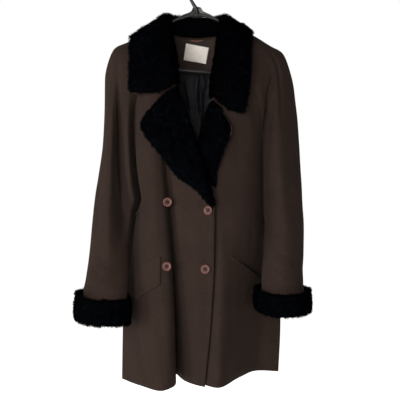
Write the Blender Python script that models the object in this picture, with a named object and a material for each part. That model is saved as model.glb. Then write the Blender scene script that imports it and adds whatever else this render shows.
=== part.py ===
"""Fur-collar coat on its hanger. Tables in millimetres; +X photo right, -Y front, +Z up.

The origin is the inside top of the hanger's hook. Each panel is a sheet worked out
from a table (a row per section, named columns) and given a wall of real thickness.
"""
import math

import bpy
import numpy as np
from mathutils import Vector
from mathutils.bvhtree import BVHTree

MM = 0.001
CLOTH = 2.4          # wall of the wool cloth
LINING = 1.0         # wall of the lining
SEAM = 0.3           # clear space between pieces at a seam
FUR = 7.0            # pile and backing of the fur pieces
ARM_RADIUS = 3.7     # hanger tube
WIRE_RADIUS = 3.4    # hook
BUTTON_RADIUS = 10.8
BUTTON_HEIGHT = 4.0
CUFF_CLEAR = 0.4     # between the sleeve's end and the cuff round it
ROWS_A_STATION = 2   # rows made between two sections of a table

# ---------------------------------------------------------------- tables
# Sleeve sections, neck to cuff. The first rows are open at the raglan seam, the rest
# are rings that close under the arm.
SLEEVE_COLUMNS = ("seam", "lobe", "valley", "crest", "ridge",
                  "top", "rear_ridge", "rear_crest", "rear_low", "rear_seam")
SLEEVE_RIGHT = [
    [(-74, -26, -158), (-79, -24, -146), (-84, -20, -136), (-88, -13, -129), (-91, -6, -126),
     (-92, 0, -125), (-91, 6, -126), (-88, 12, -130), (-84, 17, -137), (-78, 20, -146)],
    [(-90, -55, -217), (-108, -52, -203), (-126, -43, -189), (-143, -32, -178), (-156, -16, -170),
     (-168, 0, -169), (-158, 16, -170), (-144, 31, -180), (-122, 42, -196), (-96, 44, -212)],
    [(-123, -62, -277), (-143, -60, -267), (-168, -52, -250), (-188, -40, -226), (-200, -22, -202),
     (-206, 0, -187), (-198, 24, -200), (-178, 42, -228), (-150, 52, -258), (-126, 50, -275)],
    [(-149, -45, -321), (-165, -58, -317), (-192, -44, -301), (-207, -42, -288), (-220, -26, -279),
     (-230, -2, -263), (-226, 24, -268), (-212, 42, -285), (-176, 50, -310), (-146, 44, -325)],
    [(-155, -30, -393), (-168, -60, -393), (-191, -30, -380), (-206, -50, -370), (-221, -34, -356),
     (-231, -5, -338), (-228, 22, -345), (-214, 44, -360), (-180, 48, -380), (-152, 34, -393)],
    [(-151, -22, -466), (-166, -62, -468), (-190, -30, -459), (-207, -62, -449), (-224, -44, -435),
     (-234, -11, -421), (-231, 20, -422), (-216, 44, -435), (-182, 46, -455), (-152, 24, -466)],
    [(-143, -22, -530), (-160, -62, -534), (-185, -34, -526), (-208, -72, -517), (-231, -52, -507),
     (-243, -18, -496), (-240, 14, -500), (-222, 40, -510), (-184, 38, -522), (-150, 14, -530)],
    [(-138, -22, -560), (-155, -56, -567), (-182, -38, -572), (-210, -80, -565), (-236, -58, -560),
     (-251, -24, -553), (-248, 10, -555), (-228, 36, -560), (-186, 32, -562), (-150, 6, -562)],
    [(-152, -8, -600), (-164, -44, -604), (-177, -42, -609), (-210, -88, -606), (-240, -66, -606),
     (-256, -29, -604), (-252, 6, -607), (-232, 30, -606), (-190, 24, -604), (-152, -8, -600)],
    [(-165, -46, -687), (-167, -66, -686), (-182, -86, -689), (-211, -104, -693), (-244, -86, -697),
     (-262, -52, -701), (-260, -16, -705), (-240, 4, -703), (-198, 0, -700), (-165, -46, -687)],
    [(-166, -74, -748), (-167, -92, -746), (-179, -108, -749), (-213, -124, -753), (-248, -110, -754),
     (-267, -74, -755), (-265, -46, -760), (-245, -32, -760), (-202, -34, -760), (-166, -74, -748)],
    [(-167, -92, -796), (-168, -108, -794), (-180, -122, -795), (-214, -132, -798), (-251, -120, -798),
     (-271, -90, -789), (-267, -62, -790), (-247, -50, -793), (-204, -52, -794), (-167, -92, -796)],
    [(-169, -94, -841), (-170, -108, -839), (-183, -121, -840), (-217, -130, -841), (-251, -119, -840),
     (-269, -92, -839), (-266, -64, -839), (-247, -50, -841), (-206, -52, -841), (-169, -94, -841)],
]
SLEEVE_LEFT = [
    [(74, -26, -156), (79, -24, -146), (84, -20, -137), (88, -13, -131), (91, -6, -129),
     (92, 0, -128), (91, 6, -129), (88, 12, -132), (84, 17, -138), (78, 20, -147)],
    [(93, -55, -217), (110, -52, -204), (129, -43, -190), (148, -32, -178), (163, -16, -171),
     (174, 0, -177), (163, 16, -175), (148, 31, -182), (124, 42, -198), (98, 44, -213)],
    [(123, -68, -278), (150, -62, -272), (184, -42, -257), (199, -32, -234), (208, -18, -214),
     (213, 0, -199), (206, 24, -213), (186, 42, -240), (156, 52, -268), (126, 50, -277)],
    [(148, -62, -323), (159, -60, -318), (173, -44, -308), (193, -50, -302), (222, -30, -292),
     (241, -3, -285), (236, 24, -292), (220, 42, -302), (180, 50, -316), (146, 44, -325)],
    [(162, -40, -394), (165, -38, -391), (170, -36, -386), (194, -60, -381), (228, -38, -369),
     (249, -6, -358), (244, 22, -362), (226, 44, -372), (186, 48, -386), (153, 34, -395)],
    [(162, -28, -466), (165, -36, -464), (170, -46, -462), (195, -72, -457), (233, -48, -445),
     (254, -12, -436), (250, 20, -440), (230, 44, -448), (190, 46, -458), (156, 24, -466)],
    [(162, -20, -530), (165, -34, -528), (171, -50, -526), (200, -80, -519), (238, -58, -516),
     (258, -20, -516), (254, 14, -518), (234, 40, -524), (194, 38, -530), (158, 14, -530)],
    [(163, -14, -585), (166, -32, -582), (172, -52, -580), (204, -86, -577), (242, -64, -575),
     (261, -28, -575), (257, 8, -578), (238, 34, -582), (198, 30, -584), (160, 6, -585)],
    [(167, -8, -632), (169, -30, -631), (175, -56, -631), (208, -92, -627), (244, -72, -625),
     (263, -34, -624), (258, 4, -628), (240, 28, -630), (202, 22, -632), (167, -8, -632)],
    [(163, -46, -697), (164, -64, -696), (173, -86, -694), (206, -106, -693), (242, -88, -694),
     (260, -50, -697), (255, -18, -702), (237, 0, -702), (198, -2, -702), (163, -46, -697)],
    [(158, -68, -739), (158, -84, -737), (169, -102, -736), (203, -118, -734), (238, -102, -733),
     (256, -64, -734), (253, -38, -738), (235, -20, -738), (196, -22, -738), (158, -68, -739)],
    [(156, -82, -771), (157, -96, -772), (168, -112, -773), (202, -124, -774), (236, -112, -773),
     (255, -80, -769), (253, -54, -768), (234, -38, -768), (196, -40, -768), (156, -82, -771)],
    [(156, -84, -816), (157, -98, -817), (170, -112, -818), (205, -122, -819), (236, -112, -818),
     (254, -82, -817), (252, -56, -815), (234, -40, -815), (196, -42, -815), (156, -84, -816)],
]
UNDERARM = 8         # station where the raglan seams meet

# Fronts: a row per height, columns from the raglan or side seam to the front edge.
# Above the first height the columns spread evenly between the seam and the neck edge.
FRONT_RIGHT_Z = (-330, -470, -565, -708, -855, -1001)
FRONT_RIGHT = {
    "ridge":   [(-139, -64), (-140, -72), (-130, -74), (-146, -64), (-160, -40), (-140, -64)],
    "lobe":    [(-114, -80), (-112, -90), (-107, -96), (-104, -106), (-96, -114), (-82, -122)],
    "brow":    [(-92, -84), (-86, -88), (-79, -94), (-67, -103), (-59, -108), (-54, -108)],
    "valley":  [(-80, -82), (-74, -72), (-68, -62), (-59, -40), (-54, -10), (-53, 14)],
    "rise":    [(-68, -84), (-60, -84), (-52, -88), (-45, -84), (-36, -75), (-31, -58)],
    "plateau": [(-54, -86), (-28, -96), (-16, -102), (-4, -108), (-4, -108), (-2, -106)],
    "edge":    [(-32, -84), (10, -106), (41, -116), (40, -118), (32, -122), (18, -124)],
}
FRONT_RIGHT_SHARE = (0.12, 0.3, 0.45, 0.55, 0.65, 0.8, 1.0)
FRONT_RIGHT_SIDE = [(-177, 0, -712), (-186, 2, -862), (-189, 5, -1012)]
FRONT_RIGHT_HEM = (-1012, -1013, -1013, -1006, -1003, -1004, -1003, -1003)
FRONT_RIGHT_NECK = [(-72, -32, -174), (-64, -49, -217), (-54, -61, -277)]

FRONT_LEFT_Z = (-330, -470, -565, -708, -853, -1000)
FRONT_LEFT = {
    "hip":   [(130, -70), (146, -62), (146, -58), (149, -46), (161, -20), (148, 2)],
    "mid":   [(105, -82), (112, -86), (115, -88), (108, -90), (104, -78), (105, -50)],
    "crest": [(72, -84), (60, -98), (59, -104), (59, -118), (56, -132), (51, -142)],
    "under": [(46, -78), (38, -96), (34, -101), (33, -105), (26, -108), (14, -110)],
    "edge":  [(32, -73), (0, -92), (-24, -92), (-24, -93), (-22, -80), (-22, -56)],
}
FRONT_LEFT_SHARE = (0.2, 0.45, 0.7, 0.86, 1.0)
FRONT_LEFT_SIDE = [(178, 0, -715), (210, 3, -865), (205, 5, -994)]
FRONT_LEFT_HEM = (-994, -992, -996, -1001, -1000, -999)
FRONT_LEFT_NECK = [(72, -32, -172), (63, -46, -217), (53, -58, -278)]

# Back: columns across, as shares of the way from the right seam to the left seam, and the
# depth of each at seven heights.
BACK_SHARE = (0.12, 0.3, 0.5, 0.7, 0.88)
BACK_Z = (-150, -230, -330, -470, -620, -800, -1005)
BACK_DEPTH = [
    (23, 48, 52, 48, 42, 44, 46),
    (26, 52, 60, 60, 56, 60, 66),
    (28, 48, 54, 54, 50, 46, 44),
    (26, 52, 60, 60, 58, 62, 68),
    (23, 48, 52, 48, 42, 46, 48),
]
NECK_DIP = 9         # the back neck is this much lower at its middle

# Collar: a row per station from the right front end round the neck to the left one.
# seam = neck seam, roll = top of the roll, edge = outer edge of the fall, puff = how far
# the fall stands out between roll and edge.
COLLAR = [
    # seam               roll                edge                puff
    [(-47, -57, -283), (-47, -74, -283), (-158, -92, -309), 6],
    [(-50, -53, -264), (-50, -68, -262), (-162, -84, -288), 13],
    [(-57, -42, -226), (-53, -56, -226), (-162, -66, -246), 15],
    [(-64, -33, -190), (-59, -43, -186), (-163, -46, -195), 14],
    [(-72, -22, -146), (-64, -28, -145), (-164, -17, -164), 10],
    [(-89, -2, -122), (-69, -4, -106), (-161, 10, -155), 3],
    [(-78, 16, -135), (-62, 20, -103), (-146, 50, -170), 4],
    [(-44, 24.5, -151.4), (-38, 32, -103), (-84, 80, -190), 6],
    [(0, 27, -154.7), (0, 36, -105), (0, 88, -196), 7],
    [(44, 24.5, -151.6), (37, 32, -105), (80, 80, -190), 6],
    [(78, 16, -137), (58, 18, -106), (126, 52, -168), 4],
    [(89, -2, -125), (63, -6, -109), (137, 8, -144), 3],
    [(71, -22, -146), (56, -24, -141), (134, -31, -157), 9],
    [(62, -32, -190), (50, -41, -190), (130, -63, -208), 13],
    [(54, -41, -232), (44, -53, -234), (128, -78, -254), 15],
    [(46, -49, -272), (38, -64, -272), (123, -86, -308), 14],
    [(39, -56, -298), (35, -72, -304), (109, -96, -357), 10],
    [(37, -61, -311), (35, -77, -319), (75, -97, -350), 5],
]
COLLAR_SAG = (15, 6) + (0,) * 16     # how far the middle of the fall hangs below its line

# Lapels: a row per line from the roll (a front edge point) to the outer edge.
LAPEL_RIGHT = [
    # roll                outer
    [(-46, -81, -289), (-79, -93, -314)],
    [(-48, -82, -296), (-130, -100, -374)],
    [(-38, -86, -322), (-133, -102, -388)],
    [(-21, -94, -366), (-118, -104, -416)],
    [(-4, -104, -420), (-87, -108, -454)],
    [(10, -112, -468), (-44, -112, -508)],
    [(26, -117, -516), (0, -117, -540)],
    [(36, -120, -556), (20, -119, -563)],
    [(41, -122, -576), (36, -122, -580)],
]
LAPEL_LEFT = [
    [(38, -80, -328), (56, -90, -349)],
    [(30, -82, -343), (70, -98, -372)],
    [(22, -86, -362), (80, -102, -395)],
    [(14, -91, -392), (74, -105, -419)],
    [(7, -97, -436), (58, -108, -453)],
    [(20, -98, -478), (46, -107, -498)],
    [(34, -100, -520), (43, -105, -531)],
]

# Cuff rings: centre (x, y), half width, half depth, height of the ring at the front,
# outer side, back and inner side.
CUFF_RIGHT = [
    (-224, -88, 64, 58, -798, -782, -779, -800),
    (-225, -89, 68.5, 60, -826, -820, -818, -824),
    (-225, -89, 67, 59, -856, -844, -846, -858),
]
CUFF_WALL = (4, 7, 7, 7, 5)      # thickness row by row, top to bottom
CUFF_LEFT = [
    (205, -82, 66, 56, -787, -776, -770, -774),
    (205, -83, 70, 60, -811, -805, -803, -801),
    (206, -83, 67, 58, -836, -829, -828, -824),
]

BUTTONS = (("button_1", "right", -70, -570), ("button_2", "right", 27, -589),
           ("button_3", "right", -71, -722), ("button_4", "right", 20, -728))
FLAP_TOP = [(-86, -700), (-100, -703), (-118, -713), (-134, -726), (-149, -744)]
FLAP_BOTTOM = [(-87, -765), (-100, -773), (-115, -783), (-132, -796), (-146, -811)]
WELT_TOP = [(81, -698), (101, -707), (125, -723), (148, -740)]
WELT_BOTTOM = [(83, -708), (103, -718), (126, -735), (147, -754)]

GUSSET = [(-9, -84), (9, -84), (15, -93), (38, -105), (37, -112), (18, -107), (0, -110),
          (-18, -108), (-39, -113), (-41, -106), (-15, -94)]
LABEL_SIZE = (58, 40)
LABEL_AT = (-2.5, -193)
LABEL_TURN = 10
LOOP = [(-15, 22, -162), (-14, 19, -163), (-6, 17, -164.5), (0, 16.5, -165), (7, 17, -164.5),
        (14, 19, -163), (15, 22, -162)]
HOOK_LINE = [(0, -104), (-1, -90), (-7, -79), (-14, -67), (-20, -54), (-23, -40), (-22, -24),
             (-16, -8), (-8, 1), (1, 3.4), (10, 0.8), (17, -6), (20, -15)]
ARM_RIGHT_LINE = [(2, -99), (-40, -110), (-62, -119), (-92, -134.5), (-130, -156),
                  (-165, -177.5), (-190, -189.5), (-203, -195.5)]
ARM_LEFT_LINE = [(-2, -99), (36, -109), (57, -118), (92, -140), (139, -170.5),
                 (170, -188), (195, -198), (208, -204)]
BAR_LINE = [(-190, -189), (-178, -205), (-150, -221), (-50, -239), (40, -246), (150, -244),
            (184, -224), (195, -198)]


# ---------------------------------------------------------------- curves
def slopes(keys, values):
    """Tangents of a smooth curve that never passes its own rows."""
    step = np.diff(keys)
    rate = np.diff(values, axis=0) / step[:, None]
    out = np.zeros_like(values)
    out[0] = rate[0]
    out[-1] = rate[-1]
    for i in range(1, len(keys) - 1):
        a = rate[i - 1]
        b = rate[i]
        same = a * b > 0
        w1 = 2 * step[i] + step[i - 1]
        w2 = step[i] + 2 * step[i - 1]
        safe_a = np.where(same, a, 1.0)
        safe_b = np.where(same, b, 1.0)
        out[i] = np.where(same, (w1 + w2) / (w1 / safe_a + w2 / safe_b), 0.0)
    return out


def table(keys, values):
    """A function of the key from rows of a table."""
    keys = np.asarray(keys, float)
    values = np.asarray(values, float)
    order = np.argsort(keys)
    keys = keys[order]
    values = values[order]
    tangent = slopes(keys, values)

    def at(k):
        k = min(max(k, keys[0]), keys[-1])
        i = int(min(max(np.searchsorted(keys, k) - 1, 0), len(keys) - 2))
        h = keys[i + 1] - keys[i]
        t = (k - keys[i]) / h
        return (values[i] * (1 + 2 * t) * (1 - t) ** 2 + tangent[i] * h * t * (1 - t) ** 2
                + values[i + 1] * t * t * (3 - 2 * t) + tangent[i + 1] * h * t * t * (t - 1))
    return at


def through(points, counts, closed=False):
    """Even samples of a rounded line through the points, counts steps in each span."""
    pts = [np.asarray(p, float) for p in points]
    n = len(pts)
    out = []
    for i in range(n - 1):
        before = pts[i - 1] if i > 0 else (pts[n - 2] if closed else 2 * pts[0] - pts[1])
        after = pts[i + 2] if i + 2 < n else (pts[1] if closed else 2 * pts[-1] - pts[-2])
        p = [before, pts[i], pts[i + 1], after]
        t = [0.0]
        for a, b in zip(p, p[1:]):
            t.append(t[-1] + max(np.linalg.norm(b - a), 1e-6) ** 0.5)
        for s in range(counts[i]):
            u = t[1] + (t[2] - t[1]) * s / counts[i]
            a1 = (p[0] * (t[1] - u) + p[1] * (u - t[0])) / (t[1] - t[0])
            a2 = (p[1] * (t[2] - u) + p[2] * (u - t[1])) / (t[2] - t[1])
            a3 = (p[2] * (t[3] - u) + p[3] * (u - t[2])) / (t[3] - t[2])
            b1 = (a1 * (t[2] - u) + a2 * (u - t[0])) / (t[2] - t[0])
            b2 = (a2 * (t[3] - u) + a3 * (u - t[1])) / (t[3] - t[1])
            out.append((b1 * (t[2] - u) + b2 * (u - t[1])) / (t[2] - t[1]))
    out.append(pts[-1])
    return out


def stations(last, per):
    """Row parameters with `per` rows between two stations."""
    return [i / per for i in range(last * per + 1)]


# ---------------------------------------------------------------- sheets
def sleeve_grid(rows, per, counts):
    """Points of a sleeve: section by section, seam to seam."""
    tables = [table(range(len(rows)), [row[k] for row in rows]) for k in range(len(SLEEVE_COLUMNS))]
    grid = []
    for v in stations(len(rows) - 1, per):
        line = [t(v) for t in tables]
        ring = v >= UNDERARM
        if ring:
            line[-1] = line[0]
        grid.append(through(line, counts, closed=ring))
    return np.array(grid)


def seam_of(rows, column):
    return [row[column] for row in rows[:UNDERARM + 1]]


def seam_and_side(seam, side):
    """The raglan seam down to the underarm, then the side seam, as one line."""
    upper = table(range(len(seam)), seam)
    lower = table(range(UNDERARM, UNDERARM + len(side) + 1), [seam[-1]] + side)
    return lambda v: upper(v) if v <= UNDERARM else lower(v)


class Front:
    """One front panel: tables by height, from the seam to the front edge."""

    def __init__(self, seam, side, neck, share, heights, columns, hem):
        self.edge_line = seam_and_side(seam, side)
        self.last = len(seam) + len(side) - 1
        self.hem = hem
        self.tables = []
        upper = [(seam[0], neck[0]), (seam[1], neck[1]), (seam[2], neck[2])]
        for part, name in zip(share, columns):
            keys = list(heights)
            vals = list(columns[name])
            for k, (a, b) in enumerate(upper):
                a = np.array(a, float)
                b = np.array(b, float)
                p = a + (b - a) * part
                p[1] -= (3, 8, 10)[k] * math.sin(math.pi * part)
                keys.append(p[2])
                vals.append((p[0], p[1]))
            self.tables.append(table(keys, vals))
        self.tilt = [[a[2] + (b[2] - a[2]) * part - a[2] for part in share] for a, b in upper]

    def row(self, v, counts):
        side = self.edge_line(v)
        line = [side]
        drop = max(0.0, (v - UNDERARM) / (self.last - UNDERARM))
        under = self.edge_line(UNDERARM)[2]
        for k, t in enumerate(self.tables):
            z = side[2]
            if v < 2:
                i = int(v)
                f = v - i
                z += self.tilt[i][k] * (1 - f) + self.tilt[i + 1][k] * f
            elif v < 3:
                z += self.tilt[2][k] * (3 - v)
            if drop > 0:
                share = (side[2] - under) / (self.edge_line(self.last)[2] - under)
                z = under + (self.hem[k + 1] - under) * share
            x, y = t(z)
            line.append(np.array((x, y, z)))
        return through(line, counts)

    def grid(self, per, counts):
        return np.array([self.row(v, counts) for v in stations(self.last, per)])


def back_grid(per, counts):
    right_at = seam_and_side(seam_of(SLEEVE_RIGHT, 9), FRONT_RIGHT_SIDE)
    left_at = seam_and_side(seam_of(SLEEVE_LEFT, 9), FRONT_LEFT_SIDE)
    depth = [table(BACK_Z, [(d,) for d in col]) for col in BACK_DEPTH]
    grid = []
    for v in stations(UNDERARM + len(FRONT_RIGHT_SIDE), per):
        a = right_at(v)
        b = left_at(v)
        line = [a]
        for k, share in enumerate(BACK_SHARE):
            p = a + (b - a) * share
            p[2] -= NECK_DIP * math.sin(math.pi * share) * max(0.0, 1 - v / 3)
            line.append(np.array((p[0], depth[k](p[2])[0], p[2])))
        line.append(b)
        grid.append(through(line, counts))
    return np.array(grid)


def collar_grid(counts, per=1):
    """Points of the collar: along the neck, then seam, stand, roll, fall, edge."""
    seam = table(range(len(COLLAR)), [row[0] for row in COLLAR])
    roll = table(range(len(COLLAR)), [row[1] for row in COLLAR])
    edge = table(range(len(COLLAR)), [row[2] for row in COLLAR])
    puff = table(range(len(COLLAR)), [(row[3],) for row in COLLAR])
    sag = table(range(len(COLLAR)), [(drop,) for drop in COLLAR_SAG])
    grid = []
    for s in stations(len(COLLAR) - 1, per):
        n, r, e, up = seam(s), roll(s), edge(s), puff(s)[0]
        ahead = min(s + 0.5, len(COLLAR) - 1)
        behind = max(s - 0.5, 0)
        along = roll(ahead) + edge(ahead) - roll(behind) - edge(behind)
        out = np.cross(along, e - r)
        out /= np.linalg.norm(out)
        down = (e - r) / np.linalg.norm(e - r)
        line = [n, n + (r - n) * 0.55 + out * 1.0 - down * 1.5, r,
                r + down * 9 + out * max(up * 0.75, 6.5), r + (e - r) * 0.38 + out * up,
                r + (e - r) * 0.72 + out * up * 0.7, e]
        for k, share in ((3, 0.15), (4, 0.95), (5, 0.6)):
            line[k] = line[k] - (0, 0, sag(s)[0] * share)
        grid.append(through(line, counts))
    return np.array(grid)


def strip_grid(rows, across, bow):
    """Points of a flat piece given by a start and an end point a row."""
    first = table(range(len(rows)), [r[0] for r in rows])
    last = table(range(len(rows)), [r[1] for r in rows])
    grid = []
    for v in stations(len(rows) - 1, 2):
        a, b = first(v), last(v)
        line = []
        for i in range(across + 1):
            f = i / across
            p = a + (b - a) * f
            p[1] -= bow * math.sin(math.pi * f) * min(1.0, np.linalg.norm(b - a) / 60)
            line.append(p)
        grid.append(line)
    return np.array(grid)


def cuff_grid(rings, around):
    """Rings of a cuff; the height changes round the ring."""
    at = table(range(len(rings)), rings)
    grid = []
    for v in stations(len(rings) - 1, 2):
        cx, cy, hw, hd, front, outer, back, inner = at(v)
        side = -1 if cx < 0 else 1
        line = []
        for i in range(around + 1):
            a = 2 * math.pi * i / around
            c, s = math.cos(a), math.sin(a)
            x = cx + side * hw * math.copysign(abs(c) ** 0.85, c)
            y = cy - hd * math.copysign(abs(s) ** 0.85, s)
            ends = outer if c > 0 else inner
            face = front if s > 0 else back
            z = ends * c * c + face * s * s
            line.append(np.array((x, y, z)))
        line[-1] = line[0]
        grid.append(line)
    return np.array(grid)


def meet_cuff(grid, cuff, norm, pile):
    """The sleeve's last ring spreads out until it carries the cuff round it."""
    ring = (cuff - norm * pile[..., None])[-2]
    centre = ring[:-1].mean(axis=0)
    for j in range(grid.shape[1]):
        d = grid[-1, j] - centre
        angle = math.atan2(d[1], d[0])
        for a, b in zip(ring, ring[1:]):
            way = np.array((math.cos(angle), math.sin(angle)))
            m = np.array(((way[0], a[0] - b[0]), (way[1], a[1] - b[1])))
            if abs(np.linalg.det(m)) < 1e-9:
                continue
            t, u = np.linalg.solve(m, (a - centre)[:2])
            if t > 0 and -1e-9 <= u <= 1 + 1e-9:
                reach = centre[:2] + way * (t - CUFF_CLEAR)
                grid[-1, j, :2] = reach
                grid[-2, j, :2] = grid[-2, j, :2] * 0.6 + reach * 0.4
                break
    grid[-1, -1] = grid[-1, 0]
    grid[-2, -1] = grid[-2, 0]


# ---------------------------------------------------------------- walls
def normals(grid, ring_from=None):
    """Unit normals of a sheet; rows from ring_from on close on themselves."""
    rows, cols = grid.shape[:2]
    out = np.zeros_like(grid)
    for i in range(rows):
        up = grid[max(i - 1, 0)]
        dn = grid[min(i + 1, rows - 1)]
        ring = ring_from is not None and i >= ring_from
        for j in range(cols):
            if ring and j in (0, cols - 1):
                across = grid[i][1] - grid[i][cols - 2]
            else:
                across = grid[i][min(j + 1, cols - 1)] - grid[i][max(j - 1, 0)]
            n = np.cross(across, dn[j] - up[j])
            size = np.linalg.norm(n)
            out[i, j] = n / size if size > 1e-9 else (0, 0, 0)
    if ring_from is not None:
        for i in range(ring_from, rows):
            out[i, -1] = out[i, 0]
    for i in range(rows):
        for j in range(cols):
            if np.linalg.norm(out[i, j]) < 0.5:
                out[i, j] = out[i, max(j - 1, 0)] if j else out[max(i - 1, 0), j]
    return out


def smoothed(norm):
    """Normals evened out with their neighbours, for an offset without creases."""
    out = norm.copy()
    out[1:-1] = norm[:-2] + 2 * norm[1:-1] + norm[2:]
    out[:, 1:-1] = out[:, :-2] + 2 * out[:, 1:-1] + out[:, 2:]
    return out / np.linalg.norm(out, axis=-1, keepdims=True)


def facing_to(norm, way):
    """Normals turned to the front (way -1) or the back (way 1)."""
    return norm if norm[..., 1].sum() * way > 0 else -norm


def share_normals(first, col_a, second, col_b, rows):
    """Both pieces get the same normals along their seam, so the walls' ends are parallel."""
    for i in range(rows):
        n = first[i, col_a] + second[i, col_b]
        n /= np.linalg.norm(n)
        first[i, col_a] = n
        second[i, col_b] = n


def pull_in(grid, cols=(), rows=(), by=SEAM / 2 + 0.02):
    """Edge points drawn back along the sheet, which leaves the seam's gap."""
    out = grid.copy()
    for j in cols:
        inner = 1 if j == 0 else grid.shape[1] - 2
        for i in range(grid.shape[0]):
            d = grid[i, inner] - grid[i, j]
            out[i, j] = grid[i, j] + d / max(np.linalg.norm(d), 1e-9) * by
    for i in rows:
        inner = 1 if i == 0 else grid.shape[0] - 2
        for j in range(grid.shape[1]):
            d = grid[inner, j] - grid[i, j]
            out[i, j] = out[i, j] + d / max(np.linalg.norm(d), 1e-9) * by
    return out


def make(name, verts, faces, slot, colour):
    mesh = bpy.data.meshes.new(name)
    mesh.from_pydata([tuple(float(c) * MM for c in v) for v in verts], [], faces)
    mesh.validate()
    obj = bpy.data.objects.new(name, mesh)
    bpy.context.scene.collection.objects.link(obj)
    mat = bpy.data.materials.new(name + "_" + slot)
    mat.use_nodes = True
    bsdf = mat.node_tree.nodes["Principled BSDF"]
    bsdf.inputs["Base Color"].default_value = (*colour, 1)
    bsdf.inputs["Roughness"].default_value = 0.85
    mesh.materials.append(mat)
    return obj


def wall(name, grid, norm, thick, slot, colour, ring_from=None):
    """A sheet made solid: outside points, inside points along the normals, and rims."""
    rows, cols = grid.shape[:2]
    thick = np.broadcast_to(np.asarray(thick, float), (rows, cols))
    verts = []
    index = np.zeros((2, rows, cols), int)
    for side in (0, 1):
        for i in range(rows):
            for j in range(cols):
                if ring_from is not None and i >= ring_from and j == cols - 1:
                    index[side, i, j] = index[side, i, 0]
                    continue
                index[side, i, j] = len(verts)
                verts.append(grid[i, j] - norm[i, j] * thick[i, j] * side)
    faces = []

    def quad(a, b, c, d):
        keep = []
        for k in (a, b, c, d):
            if k not in keep:
                keep.append(int(k))
        if len(keep) > 2:
            faces.append(keep)
    for i in range(rows - 1):
        for j in range(cols - 1):
            o, n = index[0], index[1]
            quad(o[i, j], o[i + 1, j], o[i + 1, j + 1], o[i, j + 1])
            quad(n[i, j], n[i, j + 1], n[i + 1, j + 1], n[i + 1, j])
    o, n = index
    for j in range(cols - 1):
        quad(o[0, j], o[0, j + 1], n[0, j + 1], n[0, j])
        quad(o[-1, j + 1], o[-1, j], n[-1, j], n[-1, j + 1])
    for i in range(rows - 1):
        if ring_from is not None and i >= ring_from:
            continue
        quad(o[i + 1, 0], o[i, 0], n[i, 0], n[i + 1, 0])
        quad(o[i, -1], o[i + 1, -1], n[i + 1, -1], n[i, -1])
    obj = make(name, verts, faces, slot, colour)
    outward(obj)
    return obj


def outward(obj):
    """Faces turned out when the signed volume is negative."""
    mesh = obj.data
    total = 0.0
    for p in mesh.polygons:
        v = [mesh.vertices[k].co for k in p.vertices]
        for k in range(1, len(v) - 1):
            total += v[0].dot(v[k].cross(v[k + 1]))
    if total < 0:
        mesh.flip_normals()


def tube(name, paths, slot, colour, sides=10):
    """Rods along lines joined into one solid."""
    parts = []
    for k, (line, radius, per) in enumerate(paths):
        pts = [np.array((x, 0.0, z)) for x, z in line]
        pts = through(pts, [per] * (len(pts) - 1))
        verts = []
        faces = []
        for i, p in enumerate(pts):
            d = pts[min(i + 1, len(pts) - 1)] - pts[max(i - 1, 0)]
            d /= np.linalg.norm(d)
            a = np.array((0.0, 1.0, 0.0))
            b = np.cross(d, a)
            r = radius(i / (len(pts) - 1)) if callable(radius) else radius
            for s in range(sides):
                t = 2 * math.pi * s / sides
                verts.append(p + (a * math.cos(t) + b * math.sin(t)) * r)
        for i in range(len(pts) - 1):
            for s in range(sides):
                n = (s + 1) % sides
                faces.append([i * sides + s, i * sides + n, (i + 1) * sides + n, (i + 1) * sides + s])
        faces.append(list(range(sides))[::-1])
        faces.append([(len(pts) - 1) * sides + s for s in range(sides)])
        obj = make(name + "_part%d" % k, verts, faces, slot, colour)
        outward(obj)
        parts.append(obj)
    return parts


def join(name, parts):
    """One solid from parts that overlap."""
    base = parts[0]
    base.name = name
    base.data.name = name
    for other in parts[1:]:
        mod = base.modifiers.new("join", "BOOLEAN")
        mod.operation = "UNION"
        mod.solver = "EXACT"
        mod.object = other
        other.hide_render = True
        other.display_type = "WIRE"
    return base


# ---------------------------------------------------------------- the coat
WOOL = (0.045, 0.032, 0.026)
PILE = (0.012, 0.011, 0.011)
SATIN = (0.02, 0.016, 0.014)
FACING = (0.09, 0.05, 0.035)
SLEEVE_STEPS = (3, 3, 3, 2, 2, 2, 2, 2, 3)
FRONT_RIGHT_STEPS = (2, 2, 2, 2, 2, 2, 3)
FRONT_LEFT_STEPS = (2, 3, 3, 2, 3)
BACK_STEPS = (2, 3, 4, 4, 3, 2)


def front_right():
    return Front(seam_of(SLEEVE_RIGHT, 0), FRONT_RIGHT_SIDE, FRONT_RIGHT_NECK, FRONT_RIGHT_SHARE,
                 FRONT_RIGHT_Z, FRONT_RIGHT, FRONT_RIGHT_HEM)


def front_left():
    return Front(seam_of(SLEEVE_LEFT, 0), FRONT_LEFT_SIDE, FRONT_LEFT_NECK, FRONT_LEFT_SHARE,
                 FRONT_LEFT_Z, FRONT_LEFT, FRONT_LEFT_HEM)


def outer_face(grid):
    """A search tree over the outer face of a panel, for what is laid on it."""
    rows, cols = grid.shape[:2]
    verts = [Vector(p) for p in grid.reshape(-1, 3)]
    faces = []
    for i in range(rows - 1):
        for j in range(cols - 1):
            a = i * cols + j
            faces.append((a, a + 1, a + cols + 1))
            faces.append((a, a + cols + 1, a + cols))
    return BVHTree.FromPolygons(verts, faces)


def depth_on(tree, x, z):
    """Depth of a panel's outer face at (x, z), or of its nearest point beside it."""
    hit = tree.ray_cast(Vector((x, -400.0, z)), Vector((0.0, 1.0, 0.0)))[0]
    if hit is None:
        hit = tree.find_nearest(Vector((x, -100.0, z)))[0]
    return hit.y


def stand_off(tree, x, z, clear):
    """The point that stands this far off a panel's outer face, square to it."""
    spot, way = tree.ray_cast(Vector((x, -400.0, z)), Vector((0.0, 1.0, 0.0)))[:2]
    if way.y > 0:
        way = -way
    return np.array(spot + way * clear)


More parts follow.
